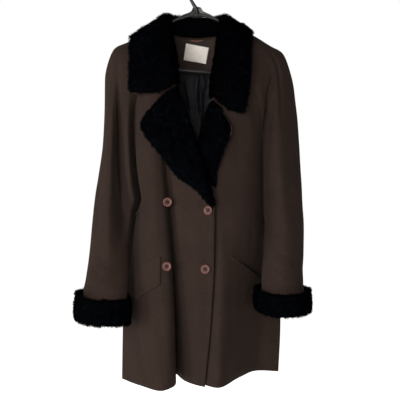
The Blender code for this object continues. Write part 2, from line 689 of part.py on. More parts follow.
def lay_on(tree, grid, clear):
    """Points of a sheet moved out until they clear the panel below."""
    out = grid.copy()
    for i in range(grid.shape[0]):
        for j in range(grid.shape[1]):
            x, y, z = grid[i, j]
            out[i, j, 1] = min(y, depth_on(tree, x, z) - clear)
    return out


def patch(tree, top, bottom, steps, rows, clear):
    """A small flat piece on a panel between two lines of (x, z)."""
    upper = through([np.array(p, float) for p in top], [steps] * (len(top) - 1))
    lower = through([np.array(p, float) for p in bottom], [steps] * (len(bottom) - 1))
    grid = []
    for r in range(rows + 1):
        f = r / rows
        line = []
        for a, b in zip(upper, lower):
            x, z = a + (b - a) * f
            line.append(stand_off(tree, x, z, clear))
        grid.append(line)
    return np.array(grid)


def build():
    per = ROWS_A_STATION
    ring = UNDERARM * per
    cuffs = {}
    for name, rings in (("right", CUFF_RIGHT), ("left", CUFF_LEFT)):
        grid = cuff_grid(rings, 24)
        norm = normals(grid, 0)
        if norm[2, 0] @ np.array((rings[0][0], 0, 0)) < 0:
            norm = -norm
        cuffs[name] = (grid, norm, np.array(CUFF_WALL)[:, None])
    sleeves = {}
    for name, rows in (("right", SLEEVE_RIGHT), ("left", SLEEVE_LEFT)):
        grid = sleeve_grid(rows, per, SLEEVE_STEPS)
        meet_cuff(grid, *cuffs[name])
        norm = normals(grid, ring)
        middle = grid.mean(axis=1, keepdims=True)
        if ((grid - middle) * norm).sum() < 0:
            norm = -norm
        sleeves[name] = [grid, norm]
    fr = front_right()
    fl = front_left()
    g_fr = fr.grid(per, FRONT_RIGHT_STEPS)
    g_fl = fl.grid(per, FRONT_LEFT_STEPS)
    g_back = back_grid(per, BACK_STEPS)
    on_right = outer_face(g_fr)
    on_left = outer_face(g_fl)
    n_fr = facing_to(normals(g_fr), -1)
    n_fl = facing_to(normals(g_fl), -1)
    n_back = facing_to(normals(g_back), 1)
    share_normals(sleeves["right"][1], 0, n_fr, 0, ring + 1)
    share_normals(sleeves["left"][1], 0, n_fl, 0, ring + 1)
    share_normals(sleeves["right"][1], -1, n_back, 0, ring)
    share_normals(sleeves["left"][1], -1, n_back, -1, ring)
    n_back[ring, 0] = n_fr[ring, 0]
    n_back[ring, -1] = n_fl[ring, 0]
    for i in range(ring + 1, g_back.shape[0]):
        for a, b in ((n_fr, 0), (n_fl, -1)):
            n = a[i, 0] + n_back[i, b]
            n /= np.linalg.norm(n)
            a[i, 0] = n
            n_back[i, b] = n

    for name in ("right", "left"):
        grid, norm = sleeves[name]
        norm[ring:, -1] = norm[ring:, 0]
        tidy = pull_in(grid, cols=(0, -1))
        near = pull_in(grid, cols=(0, -1), by=0.8)
        tidy[ring - 4:ring] = near[ring - 4:ring]
        tidy[ring] = grid[ring]
        tidy[ring, 0, 0] += math.copysign(1.2, grid[ring, 0, 0])
        tidy[ring, -1] = tidy[ring, 0]
        tidy[ring + 1:] = grid[ring + 1:]
        wall("sleeve_" + name, tidy, norm, CLOTH, "wool", WOOL, ring)
    wall("front_right", pull_in(g_fr, cols=(0,)), n_fr, CLOTH, "wool", WOOL)
    wall("front_left", pull_in(g_fl, cols=(0,)), n_fl, CLOTH, "wool", WOOL)
    wall("back", pull_in(g_back, cols=(0, -1), rows=(0,)), n_back, CLOTH, "wool", WOOL)

    collar = collar_grid((2, 1, 1, 2, 2, 2), 2)
    n_col = smoothed(smoothed(normals(collar)))
    if n_col[collar.shape[0] // 2, -3][1] < 0:
        n_col = -n_col
    thick = np.interp(np.arange(collar.shape[1]), (0, 2, 4, 8, 9, 10), (3, 4, 6.5, FUR, 6, 3))
    wall("collar", collar + n_col * thick[None, :, None], n_col, thick[None, :], "fur", PILE)
    wall("under_collar", collar - n_col * 0.5, n_col, 1.6, "wool", WOOL)

    for name, tree, rows in (("right", on_right, LAPEL_RIGHT), ("left", on_left, LAPEL_LEFT)):
        base = lay_on(tree, strip_grid(rows, 5, 4), 2.5)
        n = normals(base)
        if n[2, 2][1] > 0:
            n = -n
        pile = np.interp(np.arange(6), (0, 1, 4, 5), (4, 6, 6, 3))
        wall("lapel_" + name, base + n * pile[None, :, None], n, pile[None, :], "fur", PILE)
        wall("lapel_under_" + name, base - n * SEAM, n, 1.6, "wool", WOOL)

    for name in ("right", "left"):
        grid, norm, pile = cuffs[name]
        wall("cuff_" + name, grid, norm, pile, "fur", PILE, 0)

    flap = patch(on_right, FLAP_TOP, FLAP_BOTTOM, 3, 4, CLOTH + 1.1)
    n = normals(flap)
    n = n if n[1, 1][1] < 0 else -n
    wall("flap_right", flap, n, CLOTH, "wool", WOOL)
    welt = patch(on_left, WELT_TOP, WELT_BOTTOM, 3, 2, CLOTH + 0.8)
    n = normals(welt)
    n = n if n[1, 1][1] < 0 else -n
    wall("welt_left", welt, n, CLOTH, "wool", WOOL)

    n_in = n_back
    facing = g_back - n_in * (CLOTH + 0.6)
    fac = facing[0:4, 2:-2]
    fac = pull_in(fac, rows=(0,), by=4)
    wall("back_facing", fac, n_in[0:4, 2:-2], 1.4, "facing", FACING)
    last = g_back.shape[0] - 1
    keep = [3, 5, 6, 8, 10, 12, 14, 16, 18, 19, 20, last - 1]
    keep = sorted(set(k for k in keep if k < last))
    low = pull_in(g_back[keep][:, 1:-1], rows=(0,), by=0.5)
    n_low = n_in[keep][:, 1:-1]
    wall("lining_back", low - n_low * (CLOTH + 1.4), n_low, LINING, "lining", SATIN)

    # The label lies on the facing, and the loop hangs at the neck seam above it.
    on_facing = outer_face(fac - n_in[0:4, 2:-2] * 1.4)
    a = math.radians(LABEL_TURN)
    w, h = LABEL_SIZE
    label = []
    for u in (-0.5, -0.17, 0.17, 0.5):
        line = []
        for v in (-0.5, 0.0, 0.5):
            x = LABEL_AT[0] + w * u * math.cos(a) + h * v * math.sin(a)
            z = LABEL_AT[1] - w * u * math.sin(a) + h * v * math.cos(a)
            line.append(stand_off(on_facing, x, z, 1.65))
        label.append(line)
    label = np.array(label, float)
    wall("label", label, facing_to(normals(label), -1), 0.9, "label", (0.6, 0.58, 0.55))
    line = through([np.array(q, float) for q in LOOP], [2] * (len(LOOP) - 1))
    ends = [stand_off(on_facing, q[0], q[2], 1.6)[1] for q in (line[0], line[-1])]
    line[0][1], line[-1][1] = ends
    band = np.array([[q + (0, 0, 1.6), q - (0, 0, 1.6)] for q in line])
    wall("hanger_loop", band, facing_to(normals(band), -1), 1.2, "loop", (0.12, 0.04, 0.03))

    for name, side, x, z in BUTTONS:
        tree = on_right if side == "right" else on_left
        spots = [(x, z, 0.0)]
        for radius, rise in ((6.5, 0.0), (BUTTON_RADIUS - 1, 0.9), (BUTTON_RADIUS, 2.4)):
            for k in range(16):
                a = math.pi * k / 8
                spots.append((x + radius * math.cos(a), z + radius * math.sin(a), rise))
        y = min(depth_on(tree, a, b) + rise for a, b, rise in spots) - 0.32
        verts = []
        faces = []
        profile = ((6.5, 0.0), (BUTTON_RADIUS - 1, 0.9), (BUTTON_RADIUS, 2.4),
                   (BUTTON_RADIUS - 1.2, BUTTON_HEIGHT), (6.5, BUTTON_HEIGHT - 1.2))
        sides = 14
        for r, h in profile:
            for s in range(sides):
                t = 2 * math.pi * s / sides
                verts.append((x + r * math.cos(t), y - h, z + r * math.sin(t)))
        for i in range(len(profile) - 1):
            for s in range(sides):
                k = (s + 1) % sides
                faces.append([i * sides + s, i * sides + k, (i + 1) * sides + k, (i + 1) * sides + s])
        faces.append(list(range(sides))[::-1])
        faces.append([(len(profile) - 1) * sides + s for s in range(sides)])
        obj = make(name, verts, faces, "button", (0.25, 0.1, 0.08))
        outward(obj)

    verts = [(x, y, z) for y in (-3.3, 3.3) for x, z in GUSSET]
    count = len(GUSSET)
    faces = [list(range(count)), [count + k for k in range(count)][::-1]]
    faces += [[(k + 1) % count, k, count + k, count + (k + 1) % count] for k in range(count)]
    web = make("hanger_web", verts, faces, "plastic", (0.01, 0.01, 0.01))
    outward(web)
    parts = tube("hanger", [
        (ARM_RIGHT_LINE, ARM_RADIUS, 1), (ARM_LEFT_LINE, ARM_RADIUS, 1),
        (HOOK_LINE, lambda f: WIRE_RADIUS if f > 0.3 else WIRE_RADIUS + (0.3 - f) * 9, 3),
        (BAR_LINE, ARM_RADIUS - 0.2, 1)], "plastic", (0.01, 0.01, 0.01))
    join("hanger", parts + [web])


for old in list(bpy.data.objects):
    bpy.data.objects.remove(old, do_unlink=True)
build()
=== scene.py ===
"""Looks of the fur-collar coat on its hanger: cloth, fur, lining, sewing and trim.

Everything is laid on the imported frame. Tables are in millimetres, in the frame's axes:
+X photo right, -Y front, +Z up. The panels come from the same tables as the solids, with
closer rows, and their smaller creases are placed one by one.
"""
import math

import bpy
import numpy as np
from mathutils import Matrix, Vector
from mathutils.bvhtree import BVHTree


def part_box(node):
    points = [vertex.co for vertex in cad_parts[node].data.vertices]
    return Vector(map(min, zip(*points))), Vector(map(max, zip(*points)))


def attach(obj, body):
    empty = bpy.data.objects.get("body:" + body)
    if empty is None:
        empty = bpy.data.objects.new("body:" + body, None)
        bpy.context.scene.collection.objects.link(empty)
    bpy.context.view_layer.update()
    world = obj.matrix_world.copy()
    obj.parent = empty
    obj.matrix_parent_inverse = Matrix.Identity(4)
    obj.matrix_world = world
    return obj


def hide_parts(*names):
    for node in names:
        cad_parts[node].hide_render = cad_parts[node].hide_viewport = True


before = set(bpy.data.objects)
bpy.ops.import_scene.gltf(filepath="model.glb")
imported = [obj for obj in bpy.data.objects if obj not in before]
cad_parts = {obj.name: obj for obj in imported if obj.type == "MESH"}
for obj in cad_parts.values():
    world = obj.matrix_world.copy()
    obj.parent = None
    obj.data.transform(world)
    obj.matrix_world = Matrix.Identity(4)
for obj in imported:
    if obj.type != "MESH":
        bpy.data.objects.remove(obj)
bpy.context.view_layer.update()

MM = 0.001
CLOTH = 2.4          # wall of the wool cloth
SEAM = 0.3           # clear space between pieces at a seam
FUR = 7.0            # pile and backing of the fur pieces
ARM_RADIUS = 3.7     # hanger tube
WIRE_RADIUS = 3.4    # hook
BUTTON_RADIUS = 10.8
BUTTON_HEIGHT = 4.0
CUFF_CLEAR = 0.4
FINE = 8             # rows made between two sections of a table
PIXEL = 2.5          # one photo pixel at the hanger's depth
MIDDLE = 200         # the photo's middle pixel, across and down
EYE = (7.5, -2000.0, -565.0)     # the camera's place
FAR = 400.0          # rays start this far in front of the coat, or behind it

# ---------------------------------------------------------------- tables
# Sleeve sections, neck to cuff. The first rows are open at the raglan seam, the rest
# are rings that close under the arm.
SLEEVE_COLUMNS = ("seam", "lobe", "valley", "crest", "ridge",
                  "top", "rear_ridge", "rear_crest", "rear_low", "rear_seam")
SLEEVE_RIGHT = [
    [(-74, -26, -158), (-79, -24, -146), (-84, -20, -136), (-88, -13, -129), (-91, -6, -126),
     (-92, 0, -125), (-91, 6, -126), (-88, 12, -130), (-84, 17, -137), (-78, 20, -146)],
    [(-90, -55, -217), (-108, -52, -203), (-126, -43, -189), (-143, -32, -178), (-156, -16, -170),
     (-168, 0, -169), (-158, 16, -170), (-144, 31, -180), (-122, 42, -196), (-96, 44, -212)],
    [(-123, -62, -277), (-143, -60, -267), (-168, -52, -250), (-188, -40, -226), (-200, -22, -202),
     (-206, 0, -187), (-198, 24, -200), (-178, 42, -228), (-150, 52, -258), (-126, 50, -275)],
    [(-149, -45, -321), (-165, -58, -317), (-192, -44, -301), (-207, -42, -288), (-220, -26, -279),
     (-230, -2, -263), (-226, 24, -268), (-212, 42, -285), (-176, 50, -310), (-146, 44, -325)],
    [(-155, -30, -393), (-168, -60, -393), (-191, -30, -380), (-206, -50, -370), (-221, -34, -356),
     (-231, -5, -338), (-228, 22, -345), (-214, 44, -360), (-180, 48, -380), (-152, 34, -393)],
    [(-151, -22, -466), (-166, -62, -468), (-190, -30, -459), (-207, -62, -449), (-224, -44, -435),
     (-234, -11, -421), (-231, 20, -422), (-216, 44, -435), (-182, 46, -455), (-152, 24, -466)],
    [(-143, -22, -530), (-160, -62, -534), (-185, -34, -526), (-208, -72, -517), (-231, -52, -507),
     (-243, -18, -496), (-240, 14, -500), (-222, 40, -510), (-184, 38, -522), (-150, 14, -530)],
    [(-138, -22, -560), (-155, -56, -567), (-182, -38, -572), (-210, -80, -565), (-236, -58, -560),
     (-251, -24, -553), (-248, 10, -555), (-228, 36, -560), (-186, 32, -562), (-150, 6, -562)],
    [(-152, -8, -600), (-164, -44, -604), (-177, -42, -609), (-210, -88, -606), (-240, -66, -606),
     (-256, -29, -604), (-252, 6, -607), (-232, 30, -606), (-190, 24, -604), (-152, -8, -600)],
    [(-165, -46, -687), (-167, -66, -686), (-182, -86, -689), (-211, -104, -693), (-244, -86, -697),
     (-262, -52, -701), (-260, -16, -705), (-240, 4, -703), (-198, 0, -700), (-165, -46, -687)],
    [(-166, -74, -748), (-167, -92, -746), (-179, -108, -749), (-213, -124, -753), (-248, -110, -754),
     (-267, -74, -755), (-265, -46, -760), (-245, -32, -760), (-202, -34, -760), (-166, -74, -748)],
    [(-167, -92, -796), (-168, -108, -794), (-180, -122, -795), (-214, -132, -798), (-251, -120, -798),
     (-271, -90, -789), (-267, -62, -790), (-247, -50, -793), (-204, -52, -794), (-167, -92, -796)],
    [(-169, -94, -841), (-170, -108, -839), (-183, -121, -840), (-217, -130, -841), (-251, -119, -840),
     (-269, -92, -839), (-266, -64, -839), (-247, -50, -841), (-206, -52, -841), (-169, -94, -841)],
]
SLEEVE_LEFT = [
    [(74, -26, -156), (79, -24, -146), (84, -20, -137), (88, -13, -131), (91, -6, -129),
     (92, 0, -128), (91, 6, -129), (88, 12, -132), (84, 17, -138), (78, 20, -147)],
    [(93, -55, -217), (110, -52, -204), (129, -43, -190), (148, -32, -178), (163, -16, -171),
     (174, 0, -177), (163, 16, -175), (148, 31, -182), (124, 42, -198), (98, 44, -213)],
    [(123, -68, -278), (150, -62, -272), (184, -42, -257), (199, -32, -234), (208, -18, -214),
     (213, 0, -199), (206, 24, -213), (186, 42, -240), (156, 52, -268), (126, 50, -277)],
    [(148, -62, -323), (159, -60, -318), (173, -44, -308), (193, -50, -302), (222, -30, -292),
     (241, -3, -285), (236, 24, -292), (220, 42, -302), (180, 50, -316), (146, 44, -325)],
    [(162, -40, -394), (165, -38, -391), (170, -36, -386), (194, -60, -381), (228, -38, -369),
     (249, -6, -358), (244, 22, -362), (226, 44, -372), (186, 48, -386), (153, 34, -395)],
    [(162, -28, -466), (165, -36, -464), (170, -46, -462), (195, -72, -457), (233, -48, -445),
     (254, -12, -436), (250, 20, -440), (230, 44, -448), (190, 46, -458), (156, 24, -466)],
    [(162, -20, -530), (165, -34, -528), (171, -50, -526), (200, -80, -519), (238, -58, -516),
     (258, -20, -516), (254, 14, -518), (234, 40, -524), (194, 38, -530), (158, 14, -530)],
    [(163, -14, -585), (166, -32, -582), (172, -52, -580), (204, -86, -577), (242, -64, -575),
     (261, -28, -575), (257, 8, -578), (238, 34, -582), (198, 30, -584), (160, 6, -585)],
    [(167, -8, -632), (169, -30, -631), (175, -56, -631), (208, -92, -627), (244, -72, -625),
     (263, -34, -624), (258, 4, -628), (240, 28, -630), (202, 22, -632), (167, -8, -632)],
    [(163, -46, -697), (164, -64, -696), (173, -86, -694), (206, -106, -693), (242, -88, -694),
     (260, -50, -697), (255, -18, -702), (237, 0, -702), (198, -2, -702), (163, -46, -697)],
    [(158, -68, -739), (158, -84, -737), (169, -102, -736), (203, -118, -734), (238, -102, -733),
     (256, -64, -734), (253, -38, -738), (235, -20, -738), (196, -22, -738), (158, -68, -739)],
    [(156, -82, -771), (157, -96, -772), (168, -112, -773), (202, -124, -774), (236, -112, -773),
     (255, -80, -769), (253, -54, -768), (234, -38, -768), (196, -40, -768), (156, -82, -771)],
    [(156, -84, -816), (157, -98, -817), (170, -112, -818), (205, -122, -819), (236, -112, -818),
     (254, -82, -817), (252, -56, -815), (234, -40, -815), (196, -42, -815), (156, -84, -816)],
]
UNDERARM = 8         # station where the raglan seams meet

# Fronts: a row per height, columns from the raglan or side seam to the front edge.
# Above the first height the columns spread evenly between the seam and the neck edge.
FRONT_RIGHT_Z = (-330, -470, -565, -708, -855, -1001)
FRONT_RIGHT = {
    "ridge":   [(-139, -64), (-140, -72), (-130, -74), (-146, -64), (-160, -40), (-140, -64)],
    "lobe":    [(-114, -80), (-112, -90), (-107, -96), (-104, -106), (-96, -114), (-82, -122)],
    "brow":    [(-92, -84), (-86, -88), (-79, -94), (-67, -103), (-59, -108), (-54, -108)],
    "valley":  [(-80, -82), (-74, -72), (-68, -62), (-59, -40), (-54, -10), (-53, 14)],
    "rise":    [(-68, -84), (-60, -84), (-52, -88), (-45, -84), (-36, -75), (-31, -58)],
    "plateau": [(-54, -86), (-28, -96), (-16, -102), (-4, -108), (-4, -108), (-2, -106)],
    "edge":    [(-32, -84), (10, -106), (41, -116), (40, -118), (32, -122), (18, -124)],
}
FRONT_RIGHT_SHARE = (0.12, 0.3, 0.45, 0.55, 0.65, 0.8, 1.0)
FRONT_RIGHT_SIDE = [(-177, 0, -712), (-186, 2, -862), (-189, 5, -1012)]
FRONT_RIGHT_HEM = (-1012, -1013, -1013, -1006, -1003, -1004, -1003, -1003)
FRONT_RIGHT_NECK = [(-72, -32, -174), (-64, -49, -217), (-54, -61, -277)]

FRONT_LEFT_Z = (-330, -470, -565, -708, -853, -1000)
FRONT_LEFT = {
    "hip":   [(130, -70), (146, -62), (146, -58), (149, -46), (161, -20), (148, 2)],
    "mid":   [(105, -82), (112, -86), (115, -88), (108, -90), (104, -78), (105, -50)],
    "crest": [(72, -84), (60, -98), (59, -104), (59, -118), (56, -132), (51, -142)],
    "under": [(46, -78), (38, -96), (34, -101), (33, -105), (26, -108), (14, -110)],
    "edge":  [(32, -73), (0, -92), (-24, -92), (-24, -93), (-22, -80), (-22, -56)],
}
FRONT_LEFT_SHARE = (0.2, 0.45, 0.7, 0.86, 1.0)
FRONT_LEFT_SIDE = [(178, 0, -715), (210, 3, -865), (205, 5, -994)]
FRONT_LEFT_HEM = (-994, -992, -996, -1001, -1000, -999)
FRONT_LEFT_NECK = [(72, -32, -172), (63, -46, -217), (53, -58, -278)]

# Back: columns across, as shares of the way from the right seam to the left seam, and the
# depth of each at seven heights.
BACK_SHARE = (0.12, 0.3, 0.5, 0.7, 0.88)
BACK_Z = (-150, -230, -330, -470, -620, -800, -1005)
BACK_DEPTH = [
    (23, 48, 52, 48, 42, 44, 46),
    (26, 52, 60, 60, 56, 60, 66),
    (28, 48, 54, 54, 50, 46, 44),
    (26, 52, 60, 60, 58, 62, 68),
    (23, 48, 52, 48, 42, 46, 48),
]
NECK_DIP = 9         # the back neck is this much lower at its middle

# Collar: a row per station from the right front end round the neck to the left one.
# seam = neck seam, roll = top of the roll, edge = outer edge of the fall, puff = how far
# the fall stands out between roll and edge.
COLLAR = [
    # seam               roll                edge                puff
    [(-47, -57, -283), (-47, -74, -283), (-158, -92, -309), 6],
    [(-50, -53, -264), (-50, -68, -262), (-162, -84, -288), 13],
    [(-57, -42, -226), (-53, -56, -226), (-162, -66, -246), 15],
    [(-64, -33, -190), (-59, -43, -186), (-163, -46, -195), 14],
    [(-72, -22, -146), (-64, -28, -145), (-164, -17, -164), 10],
    [(-89, -2, -122), (-69, -4, -106), (-161, 10, -155), 3],
    [(-78, 16, -135), (-62, 20, -103), (-146, 50, -170), 4],
    [(-44, 24.5, -151.4), (-38, 32, -103), (-84, 80, -190), 6],
    [(0, 27, -154.7), (0, 36, -105), (0, 88, -196), 7],
    [(44, 24.5, -151.6), (37, 32, -105), (80, 80, -190), 6],
    [(78, 16, -137), (58, 18, -106), (126, 52, -168), 4],
    [(89, -2, -125), (63, -6, -109), (137, 8, -144), 3],
    [(71, -22, -146), (56, -24, -141), (134, -31, -157), 9],
    [(62, -32, -190), (50, -41, -190), (130, -63, -208), 13],
    [(54, -41, -232), (44, -53, -234), (128, -78, -254), 15],
    [(46, -49, -272), (38, -64, -272), (123, -86, -308), 14],
    [(39, -56, -298), (35, -72, -304), (109, -96, -357), 10],
    [(37, -61, -311), (35, -77, -319), (75, -97, -350), 5],
]
COLLAR_SAG = (15, 6) + (0,) * 16     # how far the middle of the fall hangs below its line

# Lapels: a row per line from the roll (a front edge point) to the outer edge.
LAPEL_RIGHT = [
    # roll                outer
    [(-46, -81, -289), (-79, -93, -314)],
    [(-48, -82, -296), (-130, -100, -374)],
    [(-38, -86, -322), (-133, -102, -388)],
    [(-21, -94, -366), (-118, -104, -416)],
    [(-4, -104, -420), (-87, -108, -454)],
    [(10, -112, -468), (-44, -112, -508)],
    [(26, -117, -516), (0, -117, -540)],
    [(36, -120, -556), (20, -119, -563)],
    [(41, -122, -576), (36, -122, -580)],
]
LAPEL_LEFT = [
    [(38, -80, -328), (56, -90, -349)],
    [(30, -82, -343), (70, -98, -372)],
    [(22, -86, -362), (80, -102, -395)],
    [(14, -91, -392), (74, -105, -419)],
    [(7, -97, -436), (58, -108, -453)],
    [(20, -98, -478), (46, -107, -498)],
    [(34, -100, -520), (43, -105, -531)],
]

# Cuff rings: centre (x, y), half width, half depth, height of the ring at the front,
# outer side, back and inner side.
CUFF_RIGHT = [
    (-224, -88, 64, 58, -798, -782, -779, -800),
    (-225, -89, 68.5, 60, -826, -820, -818, -824),
    (-225, -89, 67, 59, -856, -844, -846, -858),
]
CUFF_WALL = (4, 7, 7, 7, 5)      # thickness row by row, top to bottom
CUFF_LEFT = [
    (205, -82, 66, 56, -787, -776, -770, -774),
    (205, -83, 70, 60, -811, -805, -803, -801),
    (206, -83, 67, 58, -836, -829, -828, -824),
]

# name, x, z, how far it is turned (degrees)
BUTTONS = (("button_1", -70, -570, 8), ("button_2", 27, -589, -24),
           ("button_3", -71, -722, 0), ("button_4", 20, -728, -6))
FLAP_TOP = [(-86, -700), (-100, -703), (-118, -713), (-134, -726), (-149, -744)]
FLAP_BOTTOM = [(-87, -765), (-100, -773), (-115, -783), (-132, -796), (-146, -811)]
WELT_TOP = [(81, -698), (101, -707), (125, -723), (148, -740)]
WELT_BOTTOM = [(83, -708), (103, -718), (126, -735), (147, -754)]

GUSSET = [(-9, -84), (9, -84), (15, -93), (38, -105), (37, -112), (18, -107), (0, -110),
          (-18, -108), (-39, -113), (-41, -106), (-15, -94)]
LABEL_SIZE = (58, 40)
LABEL_AT = (-2.5, -193)
LABEL_TURN = 10
LOOP = [(-15, 22, -162), (-14, 19, -163), (-6, 17, -164.5), (0, 16.5, -165), (7, 17, -164.5),
        (14, 19, -163), (15, 22, -162)]
HOOK_LINE = [(0, -104), (-1, -90), (-7, -79), (-14, -67), (-20, -54), (-23, -40), (-22, -24),
             (-16, -8), (-8, 1), (1, 3.4), (10, 0.8), (17, -6), (20, -15)]
ARM_RIGHT_LINE = [(2, -99), (-40, -110), (-62, -119), (-92, -134.5), (-130, -156),
                  (-165, -177.5), (-190, -189.5), (-203, -195.5)]
ARM_LEFT_LINE = [(-2, -99), (36, -109), (57, -118), (92, -140), (139, -170.5),
                 (170, -188), (195, -198), (208, -204)]
BAR_LINE = [(-190, -189), (-178, -205), (-150, -221), (-50, -239), (40, -246), (150, -244),
            (184, -224), (195, -198)]


# ---------------------------------------------------------------- curves
def slopes(keys, values):
    """Tangents of a smooth curve that never passes its own rows."""
    step = np.diff(keys)
    rate = np.diff(values, axis=0) / step[:, None]
    out = np.zeros_like(values)
    out[0] = rate[0]
    out[-1] = rate[-1]
    for i in range(1, len(keys) - 1):
        a = rate[i - 1]
        b = rate[i]
        same = a * b > 0
        w1 = 2 * step[i] + step[i - 1]
        w2 = step[i] + 2 * step[i - 1]
        safe_a = np.where(same, a, 1.0)
        safe_b = np.where(same, b, 1.0)
        out[i] = np.where(same, (w1 + w2) / (w1 / safe_a + w2 / safe_b), 0.0)
    return out


def table(keys, values):
    """A function of the key from rows of a table."""
    keys = np.asarray(keys, float)
    values = np.asarray(values, float)
    order = np.argsort(keys)
    keys = keys[order]
    values = values[order]
    tangent = slopes(keys, values)

    def at(k):
        k = min(max(k, keys[0]), keys[-1])
        i = int(min(max(np.searchsorted(keys, k) - 1, 0), len(keys) - 2))
        h = keys[i + 1] - keys[i]
        t = (k - keys[i]) / h
        return (values[i] * (1 + 2 * t) * (1 - t) ** 2 + tangent[i] * h * t * (1 - t) ** 2
                + values[i + 1] * t * t * (3 - 2 * t) + tangent[i + 1] * h * t * t * (t - 1))
    return at


def through(points, counts, closed=False):
    """Even samples of a rounded line through the points, counts steps in each span."""
    pts = [np.asarray(p, float) for p in points]
    n = len(pts)
    out = []
    for i in range(n - 1):
        before = pts[i - 1] if i > 0 else (pts[n - 2] if closed else 2 * pts[0] - pts[1])
        after = pts[i + 2] if i + 2 < n else (pts[1] if closed else 2 * pts[-1] - pts[-2])
        p = [before, pts[i], pts[i + 1], after]
        t = [0.0]
        for a, b in zip(p, p[1:]):
            t.append(t[-1] + max(np.linalg.norm(b - a), 1e-6) ** 0.5)
        for s in range(counts[i]):
            u = t[1] + (t[2] - t[1]) * s / counts[i]
            a1 = (p[0] * (t[1] - u) + p[1] * (u - t[0])) / (t[1] - t[0])
            a2 = (p[1] * (t[2] - u) + p[2] * (u - t[1])) / (t[2] - t[1])
            a3 = (p[2] * (t[3] - u) + p[3] * (u - t[2])) / (t[3] - t[2])
            b1 = (a1 * (t[2] - u) + a2 * (u - t[0])) / (t[2] - t[0])
            b2 = (a2 * (t[3] - u) + a3 * (u - t[1])) / (t[3] - t[1])
            out.append((b1 * (t[2] - u) + b2 * (u - t[1])) / (t[2] - t[1]))
    out.append(pts[-1])
    return out


def stations(last, per):
    """Row parameters with `per` rows between two stations."""
    return [i / per for i in range(last * per + 1)]


# ---------------------------------------------------------------- sheets
def sleeve_grid(rows, per, counts):
    """Points of a sleeve: section by section, seam to seam."""
    tables = [table(range(len(rows)), [row[k] for row in rows]) for k in range(len(SLEEVE_COLUMNS))]
    grid = []
    for v in stations(len(rows) - 1, per):
        line = [t(v) for t in tables]
        ring = v >= UNDERARM
        if ring:
            line[-1] = line[0]
        grid.append(through(line, counts, closed=ring))
    return np.array(grid)


def seam_of(rows, column):
    return [row[column] for row in rows[:UNDERARM + 1]]


def seam_and_side(seam, side):
    """The raglan seam down to the underarm, then the side seam, as one line."""
    upper = table(range(len(seam)), seam)
    lower = table(range(UNDERARM, UNDERARM + len(side) + 1), [seam[-1]] + side)
    return lambda v: upper(v) if v <= UNDERARM else lower(v)


class Front:
    """One front panel: tables by height, from the seam to the front edge."""

    def __init__(self, seam, side, neck, share, heights, columns, hem):
        self.edge_line = seam_and_side(seam, side)
        self.last = len(seam) + len(side) - 1
        self.hem = hem
        self.tables = []
        upper = [(seam[0], neck[0]), (seam[1], neck[1]), (seam[2], neck[2])]
        for part, name in zip(share, columns):
            keys = list(heights)
            vals = list(columns[name])
            for k, (a, b) in enumerate(upper):
                a = np.array(a, float)
                b = np.array(b, float)
                p = a + (b - a) * part
                p[1] -= (3, 8, 10)[k] * math.sin(math.pi * part)
                keys.append(p[2])
                vals.append((p[0], p[1]))
            self.tables.append(table(keys, vals))
        self.tilt = [[a[2] + (b[2] - a[2]) * part - a[2] for part in share] for a, b in upper]

    def row(self, v, counts):
        side = self.edge_line(v)
        line = [side]
        drop = max(0.0, (v - UNDERARM) / (self.last - UNDERARM))
        under = self.edge_line(UNDERARM)[2]
        for k, t in enumerate(self.tables):
            z = side[2]
            if v < 2:
                i = int(v)
                f = v - i
                z += self.tilt[i][k] * (1 - f) + self.tilt[i + 1][k] * f
            elif v < 3:
                z += self.tilt[2][k] * (3 - v)
            if drop > 0:
                share = (side[2] - under) / (self.edge_line(self.last)[2] - under)
                z = under + (self.hem[k + 1] - under) * share
            x, y = t(z)
            line.append(np.array((x, y, z)))
        return through(line, counts)

    def grid(self, per, counts):
        return np.array([self.row(v, counts) for v in stations(self.last, per)])


def back_grid(per, counts):
    right_at = seam_and_side(seam_of(SLEEVE_RIGHT, 9), FRONT_RIGHT_SIDE)
    left_at = seam_and_side(seam_of(SLEEVE_LEFT, 9), FRONT_LEFT_SIDE)
    depth = [table(BACK_Z, [(d,) for d in col]) for col in BACK_DEPTH]
    grid = []
    for v in stations(UNDERARM + len(FRONT_RIGHT_SIDE), per):
        a = right_at(v)
        b = left_at(v)
        line = [a]
        for k, share in enumerate(BACK_SHARE):
            p = a + (b - a) * share
            p[2] -= NECK_DIP * math.sin(math.pi * share) * max(0.0, 1 - v / 3)
            line.append(np.array((p[0], depth[k](p[2])[0], p[2])))
        line.append(b)
        grid.append(through(line, counts))
    return np.array(grid)


def collar_grid(counts, per=1):
    """Points of the collar: along the neck, then seam, stand, roll, fall, edge."""
    seam = table(range(len(COLLAR)), [row[0] for row in COLLAR])
    roll = table(range(len(COLLAR)), [row[1] for row in COLLAR])
    edge = table(range(len(COLLAR)), [row[2] for row in COLLAR])
    puff = table(range(len(COLLAR)), [(row[3],) for row in COLLAR])
    sag = table(range(len(COLLAR)), [(drop,) for drop in COLLAR_SAG])
    grid = []
    for s in stations(len(COLLAR) - 1, per):
        n, r, e, up = seam(s), roll(s), edge(s), puff(s)[0]
        ahead = min(s + 0.5, len(COLLAR) - 1)
        behind = max(s - 0.5, 0)
        along = roll(ahead) + edge(ahead) - roll(behind) - edge(behind)
        out = np.cross(along, e - r)
        out /= np.linalg.norm(out)
        down = (e - r) / np.linalg.norm(e - r)
        line = [n, n + (r - n) * 0.55 + out * 1.0 - down * 1.5, r,
                r + down * 9 + out * max(up * 0.75, 6.5), r + (e - r) * 0.38 + out * up,
                r + (e - r) * 0.72 + out * up * 0.7, e]
        for k, share in ((3, 0.15), (4, 0.95), (5, 0.6)):
            line[k] = line[k] - (0, 0, sag(s)[0] * share)
        grid.append(through(line, counts))
    return np.array(grid)


